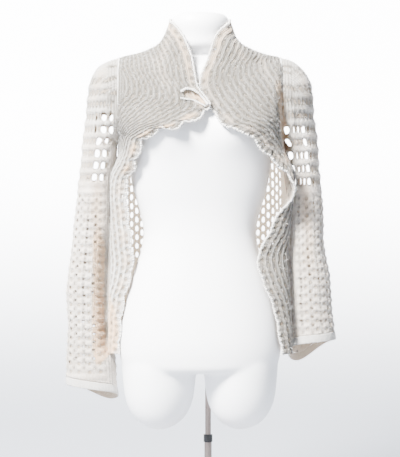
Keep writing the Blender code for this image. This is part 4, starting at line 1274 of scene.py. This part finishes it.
class CARDIGAN_OT_form(bpy.types.Operator):
    """Build the smooth dress form with its neck and two thigh stubs"""
    bl_idname = "cardigan.form"
    bl_label = "Dress form"

    def execute(self, context):
        """Join the torso and thighs in one smooth skin, and bore the socket of the pole."""
        settings = context.scene.cardigan_stand
        heights = np.concatenate((np.linspace(349, 378, 10), np.arange(382, 985, 5.0),
                                  np.linspace(987, 1098, 40)))
        rings = []
        for height in heights:
            wide, front, back = smooth_table(TORSO, height)
            ring = closed_ring(wide, front, back, height, FORM_POWER, FORM_SIDES)
            ahead = ring[:, 1] < 0
            out = bust(ring[ahead, 0], height) * soft_step(-ring[ahead, 1], 0, 60)
            ring[ahead, 1] -= out
            rings.append(ring)
        points, faces = np.concatenate(rings), loft_faces(len(rings), FORM_SIDES)
        for side in (-1, 1):
            stack = []
            for height in np.linspace(228, 400, 46):
                wide, deep = smooth_table(THIGH[::-1], height)
                stack.append(closed_ring(wide, deep, deep, height, 2.0, THIGH_SIDES,
                                         side * THIGH_X, THIGH_Y))
            faces += loft_faces(len(stack), THIGH_SIDES, len(points))
            points = np.concatenate((points, *stack))
        tone = settings.form_tone
        deep_tone = [0.97 * part for part in tone]
        material = plastic_material("form_plastic", tone, deep_tone, 0.42)
        piece = add_mesh("dress_form", points, faces, material)
        skin = piece.modifiers.new("skin", "REMESH")
        skin.mode = "VOXEL"
        skin.voxel_size = settings.voxel
        skin.use_smooth_shade = True
        ease = piece.modifiers.new("ease", "SMOOTH")
        ease.factor = 0.5
        ease.iterations = 14
        apply_modifiers(piece)
        bore = add_mesh("form_bore", turned_rings(((POLE_HOLE, 300), (POLE_HOLE, 412.3)),
                                                  BORE_SIDES),
                        loft_faces(2, BORE_SIDES), material)
        cut = piece.modifiers.new("socket", "BOOLEAN")
        cut.object = bore
        cut.operation = "DIFFERENCE"
        apply_modifiers(piece)
        bpy.data.objects.remove(bore)
        piece.data.shade_smooth()
        finish_piece(piece, ("form",))
        return {"FINISHED"}


class CARDIGAN_OT_stand(bpy.types.Operator):
    """Build the round base, hub, tubes, pole and clamp collar"""
    bl_idname = "cardigan.stand"
    bl_label = "Stand"

    def execute(self, context):
        """Turn each piece of the stand from its profile of radius and height."""
        settings = context.scene.cardigan_stand
        sides = settings.segments
        tone = settings.metal_tone
        metal = metal_material("brushed_nickel", tone, [0.8 * part for part in tone])
        black = plastic_material("clamp_plastic", (0.02, 0.02, 0.022), (0.012, 0.012, 0.012), 0.4)
        solid = {
            "base_plate": (((0.5, 0), (157.6, 0), (159.2, 0.5), (160, 1.8), (160, 5.6),
                            (159.4, 7.1), (158, 8.0), (0.5, 8.0)), metal, "pole_metal"),
            "pole": (((0.5, 30), (6.0, 30), (6.35, 30.4), (6.35, 411.6), (6.0, 412), (0.5, 412)),
                     metal, "pole_metal"),
        }
        hollow = {
            "hub": (((8.3, 8.3), (19, 8.3), (19, 23.5), (18.5, 25.2), (17, 26.3), (8.9, 26.3),
                     (8.3, 25.7)), metal, "pole_metal"),
            "lower_tube": (((POLE_HOLE, 8.3), (8, 8.3), (8, 191.2), (7.6, 191.7),
                            (POLE_HOLE, 191.7)), metal, "pole_metal"),
            "clamp_collar": (((POLE_HOLE, 192), (9.1, 192), (9.6, 192.6), (9.6, 207.7),
                              (9.1, 208.4), (POLE_HOLE, 208.4)), black, "clamp_black"),
        }
        for node, (profile, material, slot) in {**solid, **hollow}.items():
            count = len(profile)
            if node in solid:
                faces = loft_faces(count, sides)
            else:
                faces = []
                for row in range(count):
                    for side in range(sides):
                        ahead, above = (side + 1) % sides, (row + 1) % count
                        faces.append((row * sides + side, row * sides + ahead,
                                      above * sides + ahead, above * sides + side))
            piece = add_mesh("stand_" + node, turned_rings(profile, sides), faces, material)
            piece.data.set_sharp_from_angle(angle=math.radians(35))
            finish_piece(piece, (node,))
        return {"FINISHED"}


class CARDIGAN_OT_back(bpy.types.Operator):
    """Knit the cardigan's back with open net at both sides"""
    bl_idname = "cardigan.back"
    bl_label = "Back"

    def execute(self, context):
        """Knit the back panel and the collar's back."""
        settings = context.scene.cardigan_knit
        cloth = cloth_of(settings)
        step, thick = settings.cell / MM, settings.thickness / MM
        middle, along, across = back_grid(step)
        outward = outward_of(middle, 1)
        middle = middle + outward * (soft_waves(middle, 2.0) * 0.8)[..., None]
        half_width = float(across[len(across) // 2, -1])
        relief = 0.5 * ripple(across, SMALL_KNIT) * soft_step(130 - np.abs(across), 0, 8)
        relief = relief + 0.5 * ripple(along, SMALL_KNIT)
        # The back's inside gets little painted shade and a strong painted glow.
        piece = knit_shell("cardigan_back", middle, outward, along, across,
                           back_holes(half_width), relief, cloth, thick, inside_shade=0.05,
                           backlight=1.0)
        finish_piece(piece, ("back",))
        declare_sheet(middle)
        turn = np.linspace(0, math.pi, 76)
        rows = np.linspace(0, 1, 18)[:, None]
        wide = COLLAR_TOP_WIDTH + (NECK_WIDTH - COLLAR_TOP_WIDTH) * rows
        deep = COLLAR_TOP_DEPTH + (NECK_DEPTH - COLLAR_TOP_DEPTH) * rows
        height = COLLAR_TOP + (NECK_HEIGHT + 0.6 - COLLAR_TOP) * rows + 0 * turn[None, :]
        middle = np.stack((wide * np.cos(turn), deep * np.sin(turn), height), axis=2)
        outward = outward_of(middle, -1)
        middle = middle + outward * WALL_MIDDLE
        middle[..., 1] = np.maximum(middle[..., 1], SEAM_HALF)
        along = run_length(middle, 0)
        across = run_length(middle, 1)
        relief = 0.7 * ripple(across, COLLAR_RIB)
        piece = knit_shell("cardigan_collar", middle, outward, along, across, (), relief, cloth,
                           thick)
        finish_piece(piece, ("collar_back",))
        declare_sheet(middle)
        return {"FINISHED"}


class CARDIGAN_OT_fronts(bpy.types.Operator):
    """Knit both draped fronts with their shawl collar and crochet edging"""
    bl_idname = "cardigan.fronts"
    bl_label = "Fronts"

    def execute(self, context):
        """Knit each front panel and work the edging along its free edge."""
        settings = context.scene.cardigan_knit
        cloth = cloth_of(settings)
        step, thick = settings.cell / MM, settings.thickness / MM
        for name, rows, side in (("left", FRONT_LEFT, -1), ("right", FRONT_RIGHT, 1)):
            middle, along, across, warm_tint_and_shade = front_grid(rows, side, step)
            outward = outward_of(middle, -side)
            width = np.repeat(across[:, -1:], across.shape[1], axis=1)
            middle = middle + outward * (soft_waves(middle, 1.0 + side) * 0.7)[..., None]
            # The fronts' colour takes painted shade on the chest and in the hollows of the ribs.
            relief, hollow = front_relief(side, along, across, width, middle[..., 2])
            shade = front_shade(side, across, width, middle[..., 2])
            dimples, eyelets = front_dimples(side)
            piece = knit_shell(f"cardigan_front_{name}", middle, outward, along, across, eyelets,
                               relief, cloth, thick, width=width, dimples=dimples,
                               painted_shade=shade + hollow, warm_tint_and_shade=warm_tint_and_shade)
            edge = middle[2:, 0] + unit(middle[:, 0] - middle[:, 1])[2:] * 2.0
            cord = stitched_line(f"cardigan_edging_{name}", edge, settings, 0.0044, 0.0026, 0.0016)
            finish_piece(piece, (f"front_{name}",))
            finish_piece(cord, (f"edging_{name}",))
            if side < 0:
                for number, corners in enumerate(LOOPS):
                    loop = stitched_line(f"cardigan_loop_{number + 1}",
                                         loop_line(middle, corners), settings, 0.004,
                                         0.0027 - 0.0007 * number, 0.0019 - 0.0007 * number)
                    finish_piece(loop, (f"front_{name}",))
            declare_sheet(middle)
        return {"FINISHED"}


class CARDIGAN_OT_sleeves(bpy.types.Operator):
    """Knit both lace sleeves and their plain cuffs"""
    bl_idname = "cardigan.sleeves"
    bl_label = "Sleeves"

    def execute(self, context):
        """Knit each sleeve as one tube and its cuff below."""
        settings = context.scene.cardigan_knit
        cloth, plain = cloth_of(settings), cord_of(settings)
        step, thick = settings.cell / MM, settings.thickness / MM
        for name, side in (("left", -1), ("right", 1)):
            length = SLEEVES[name][-1][0]
            places = np.linspace(0, length, int(length / step))
            angles = sleeve_angles()
            middle = sleeve_grid(name, places, angles)
            outward = outward_of(middle, side, closed=True)
            along, across = sleeve_levels(name, middle)
            # Painted warm shade in each sleeve's fold, and a faint warm tint growing below its
            # head.
            warm_tint_and_shade = 0.9 * patch_shade(middle) if name == "left" else shade_armhole(middle)
            warm_tint_and_shade = warm_tint_and_shade + 0.06 + 0.16 * soft_step(along, 90, 190)
            middle, warm_tint_and_shade = press_creases(middle + outward * WALL_MIDDLE, warm_tint_and_shade)
            start = soft_step(places, 0, 30)[:, None]
            middle = middle + outward * (soft_waves(middle, 3.0 + side) * start)[..., None]
            relief, hollow = sleeve_relief(name, along, across, np.abs(middle[..., 0]))
            piece = knit_shell(f"cardigan_sleeve_{name}", middle, outward, along, across,
                               SLEEVE_HOLES[name], relief, cloth, thick, closed=True, turn=360.0,
                               dimples=sleeve_dimples(name), painted_shade=hollow, warm_tint_and_shade=warm_tint_and_shade)
            finish_piece(piece, (f"sleeve_{name}_front", f"sleeve_{name}_back"))
            end = np.argmax(angles > FRONT_SEAM_END)
            seam = middle[0, :end] + outward[0, :end] * 1.4
            cord = stitched_line(f"cardigan_armhole_{name}", seam, settings, 0.0036, 0.0019,
                                 0.0012)
            # The right armhole's cord takes the painted fold shade all over.
            if side > 0:
                cord.data.materials[0] = cord_of(settings, shaded=True)
            finish_piece(cord, (f"sleeve_{name}_front",))
            declare_sheet(middle,
                          closed=True)
            last = sleeve_grid(name, np.array([length - 8, length]), angles)
            down = unit(last[1] - last[0])
            far = np.linspace(0.6, CUFF_TALL, 12)
            cuff = last[1][None] + down[None] * far[:, None, None]
            outward = outward_of(cuff, side, closed=True)
            cuff = cuff + outward * WALL_MIDDLE
            along = np.repeat(far[:, None], len(angles), axis=1)
            across = np.repeat(angles[None, :], len(far), axis=0)
            relief = 0.5 * np.sin(along * math.pi / CUFF_TALL) + 0.3 * np.cos(across * math.pi / 4)
            band = knit_shell(f"cardigan_cuff_{name}", cuff, outward, along, across, (), relief,
                              plain, thick + 0.6, closed=True, turn=360.0, painted_shade=0.3)
            finish_piece(band, (f"cuff_{name}",))
            declare_sheet(cuff, closed=True)
        return {"FINISHED"}


class CARDIGAN_OT_hairs(bpy.types.Operator):
    """Grow the wool's short loose hairs on every knitted piece"""
    bl_idname = "cardigan.hairs"
    bl_label = "Loose hairs"

    def execute(self, context):
        """Grow hairs on each cloth with one Geometry Nodes tree."""
        settings = context.scene.cardigan_knit
        wool = wool_material("loose_wool", [settings.light_tone] * 4, 0.004, 0.0, 0.0)
        tree = strand_tree(wool)
        names = [f"cardigan_{part}" for part in ("back", "collar", "front_left", "front_right",
                                                 "sleeve_left", "sleeve_right", "cuff_left",
                                                 "cuff_right", "edging_left", "edging_right")]
        for seed, name in enumerate(names):
            piece = grow(name.replace("cardigan_", "hairs_"), bpy.data.objects[name], tree,
                         {"Density": settings.hair_density, "Hair Length": settings.hair_length,
                          "Hair Width": HAIR_WIDTH, "Seed": seed + 1})
            finish_piece(piece)
        return {"FINISHED"}


def open_from_behind(tree):
    """Let views from behind the backdrop pass through it."""
    output = next(node for node in tree.nodes if node.type == "OUTPUT_MATERIAL")
    paper = output.inputs["Surface"].links[0].from_socket
    behind = put(tree, "ShaderNodeNewGeometry").outputs["Backfacing"]
    clear = put(tree, "ShaderNodeBsdfTransparent").outputs[0]
    mix = put(tree, "ShaderNodeMixShader", {0: behind, 1: paper, 2: clear})
    fill(tree, output, {"Surface": mix.outputs[0]})


class CARDIGAN_OT_stage(bpy.types.Operator):
    """Set the plain floor and backdrop, the soft lights and the camera"""
    bl_idname = "cardigan.stage"
    bl_label = "Stage"

    def execute(self, context):
        """Build the sweep, three soft lights, the sky and the camera."""
        settings = context.scene.cardigan_stage
        scene = context.scene
        bend = [(SWEEP_NEAR, 0.0), (SWEEP_BEND, 0.0)]
        bend += [(SWEEP_BEND + SWEEP_BEND * math.sin(turn),
                  SWEEP_BEND - SWEEP_BEND * math.cos(turn))
                 for turn in np.linspace(0.05, math.pi / 2, 24)]
        bend += [(2 * SWEEP_BEND, SWEEP_TOP)]
        points = [(x, y, z) for y, z in bend for x in (-SWEEP_SIDE, SWEEP_SIDE)]
        faces = [(2 * row, 2 * row + 1, 2 * row + 3, 2 * row + 2) for row in range(len(bend) - 1)]
        mesh = bpy.data.meshes.new("sweep")
        mesh.from_pydata(points, [], faces)
        mesh.shade_smooth()
        sweep = bpy.data.objects.new("sweep", mesh)
        scene.collection.objects.link(sweep)
        material, tree, shader, place = new_material("pale_paper")
        # The sweep's emission is a painted pool of light: brightest behind the form, fading to the
        # floor and the sides; it also lights the stage.
        split = put(tree, "ShaderNodeSeparateXYZ", {0: place["Object"]}).outputs
        rise = put(tree, "ShaderNodeMapRange", {"From Min": 0.05, "From Max": 1.0,
                                                "Value": split[2]},
                   interpolation_type="SMOOTHSTEP")
        lit = put(tree, "ShaderNodeMapRange", {
            "From Min": 0.85, "From Max": 1.7, "To Min": 1.0, "To Max": 0.06,
            "Value": reckon(tree, "ABSOLUTE", split[0])}, interpolation_type="SMOOTHSTEP")
        painted_glow = reckon(tree, "MULTIPLY", rise.outputs["Result"], lit.outputs["Result"])
        mix = put(tree, "ShaderNodeMix", {"Factor": painted_glow, "A": (0.035, 0.038, 0.042, 1),
                                          "B": (0.9, 0.9, 0.9, 1)}, data_type="RGBA")
        fill(tree, shader, {"Emission Color": mix.outputs["Result"], "Emission Strength": 14.0,
                            "Base Color": (0.24, 0.255, 0.285, 1), "Roughness": 0.9})
        open_from_behind(tree)
        mesh.materials.append(material)
        world = bpy.data.worlds.new("studio_sky")
        scene.world = world
        world.use_nodes = True
        sky = world.node_tree.nodes["Background"]
        sky.inputs["Color"].default_value = (*settings.sky, 1)
        sky.inputs["Strength"].default_value = settings.sky_strength
        target = Vector((FORM_X * MM, FORM_Y * MM, LOOK_HEIGHT))
        for name, place, size, power, colour in (
                ("key_light", (-1.7, -2.5, 3.2), 1.0, settings.key_power, (1.0, 0.98, 0.95)),
                ("fill_light", (-0.6, -3.2, 1.3), 1.8, settings.fill_power, (0.95, 0.97, 1.0)),
                ("top_light", (0.0, -0.4, 3.0), 1.6, settings.fill_power, (1.0, 1.0, 1.0))):
            lamp = bpy.data.lights.new(name, "AREA")
            lamp.shape = "SQUARE"
            lamp.size = size
            lamp.energy = power
            lamp.color = colour
            light = bpy.data.objects.new(name, lamp)
            light.location = place
            light.rotation_euler = (target - Vector(place)).to_track_quat("-Z", "Y").to_euler()
            scene.collection.objects.link(light)
        lens = bpy.data.cameras.new("camera")
        lens.lens = settings.lens
        lens.sensor_width = 36.0
        camera = bpy.data.objects.new("camera", lens)
        frame_height = PICTURE_ROWS * ROW_SIZE * MM
        distance = frame_height * settings.lens / lens.sensor_width
        camera.location = target - Vector((0, distance, 0))
        camera.rotation_euler = (math.pi / 2, 0, 0)
        scene.collection.objects.link(camera)
        scene.camera = camera
        return {"FINISHED"}


class CARDIGAN_PT_panel(bpy.types.Panel):
    """Sidebar panel with the cardigan's pieces"""
    bl_idname = "CARDIGAN_PT_panel"
    bl_label = "Openwork cardigan"
    bl_space_type = "VIEW_3D"
    bl_region_type = "UI"
    bl_category = "Cardigan"

    def draw(self, context):
        """List each settings group and its operators."""
        layout = self.layout
        for title, settings, names in (
                ("Knit", context.scene.cardigan_knit,
                 ("cell", "thickness", "stitch", "hair_length", "hair_density", "light_tone",
                  "deep_tone", "hollow_shade_tone", "fold_shade_tone")),
                ("Stand", context.scene.cardigan_stand,
                 ("voxel", "segments", "form_tone", "metal_tone")),
                ("Stage", context.scene.cardigan_stage,
                 ("key_power", "fill_power", "sky", "sky_strength", "lens"))):
            box = layout.box()
            box.label(text=title)
            for name in names:
                box.prop(settings, name)
        for operator in OPERATORS:
            layout.operator(operator.bl_idname)


OPERATORS = (CARDIGAN_OT_form, CARDIGAN_OT_stand, CARDIGAN_OT_back, CARDIGAN_OT_fronts,
             CARDIGAN_OT_sleeves, CARDIGAN_OT_hairs, CARDIGAN_OT_stage)
CLASSES = (KnitSettings, StandSettings, StageSettings, *OPERATORS, CARDIGAN_PT_panel)


def register():
    """Register the classes and the scene's settings."""
    for kind in CLASSES:
        bpy.utils.register_class(kind)
    bpy.types.Scene.cardigan_knit = PointerProperty(type=KnitSettings)
    bpy.types.Scene.cardigan_stand = PointerProperty(type=StandSettings)
    bpy.types.Scene.cardigan_stage = PointerProperty(type=StageSettings)


def unregister():
    """Remove the settings and the classes."""
    del bpy.types.Scene.cardigan_stage
    del bpy.types.Scene.cardigan_stand
    del bpy.types.Scene.cardigan_knit
    for kind in reversed(CLASSES):
        bpy.utils.unregister_class(kind)


def main():
    """Build every piece and the stage."""
    register()
    bpy.ops.cardigan.form()
    bpy.ops.cardigan.stand()
    bpy.ops.cardigan.back()
    bpy.ops.cardigan.fronts()
    bpy.ops.cardigan.sleeves()
    bpy.ops.cardigan.hairs()
    bpy.ops.cardigan.stage()


if __name__ == "__main__":
    main()
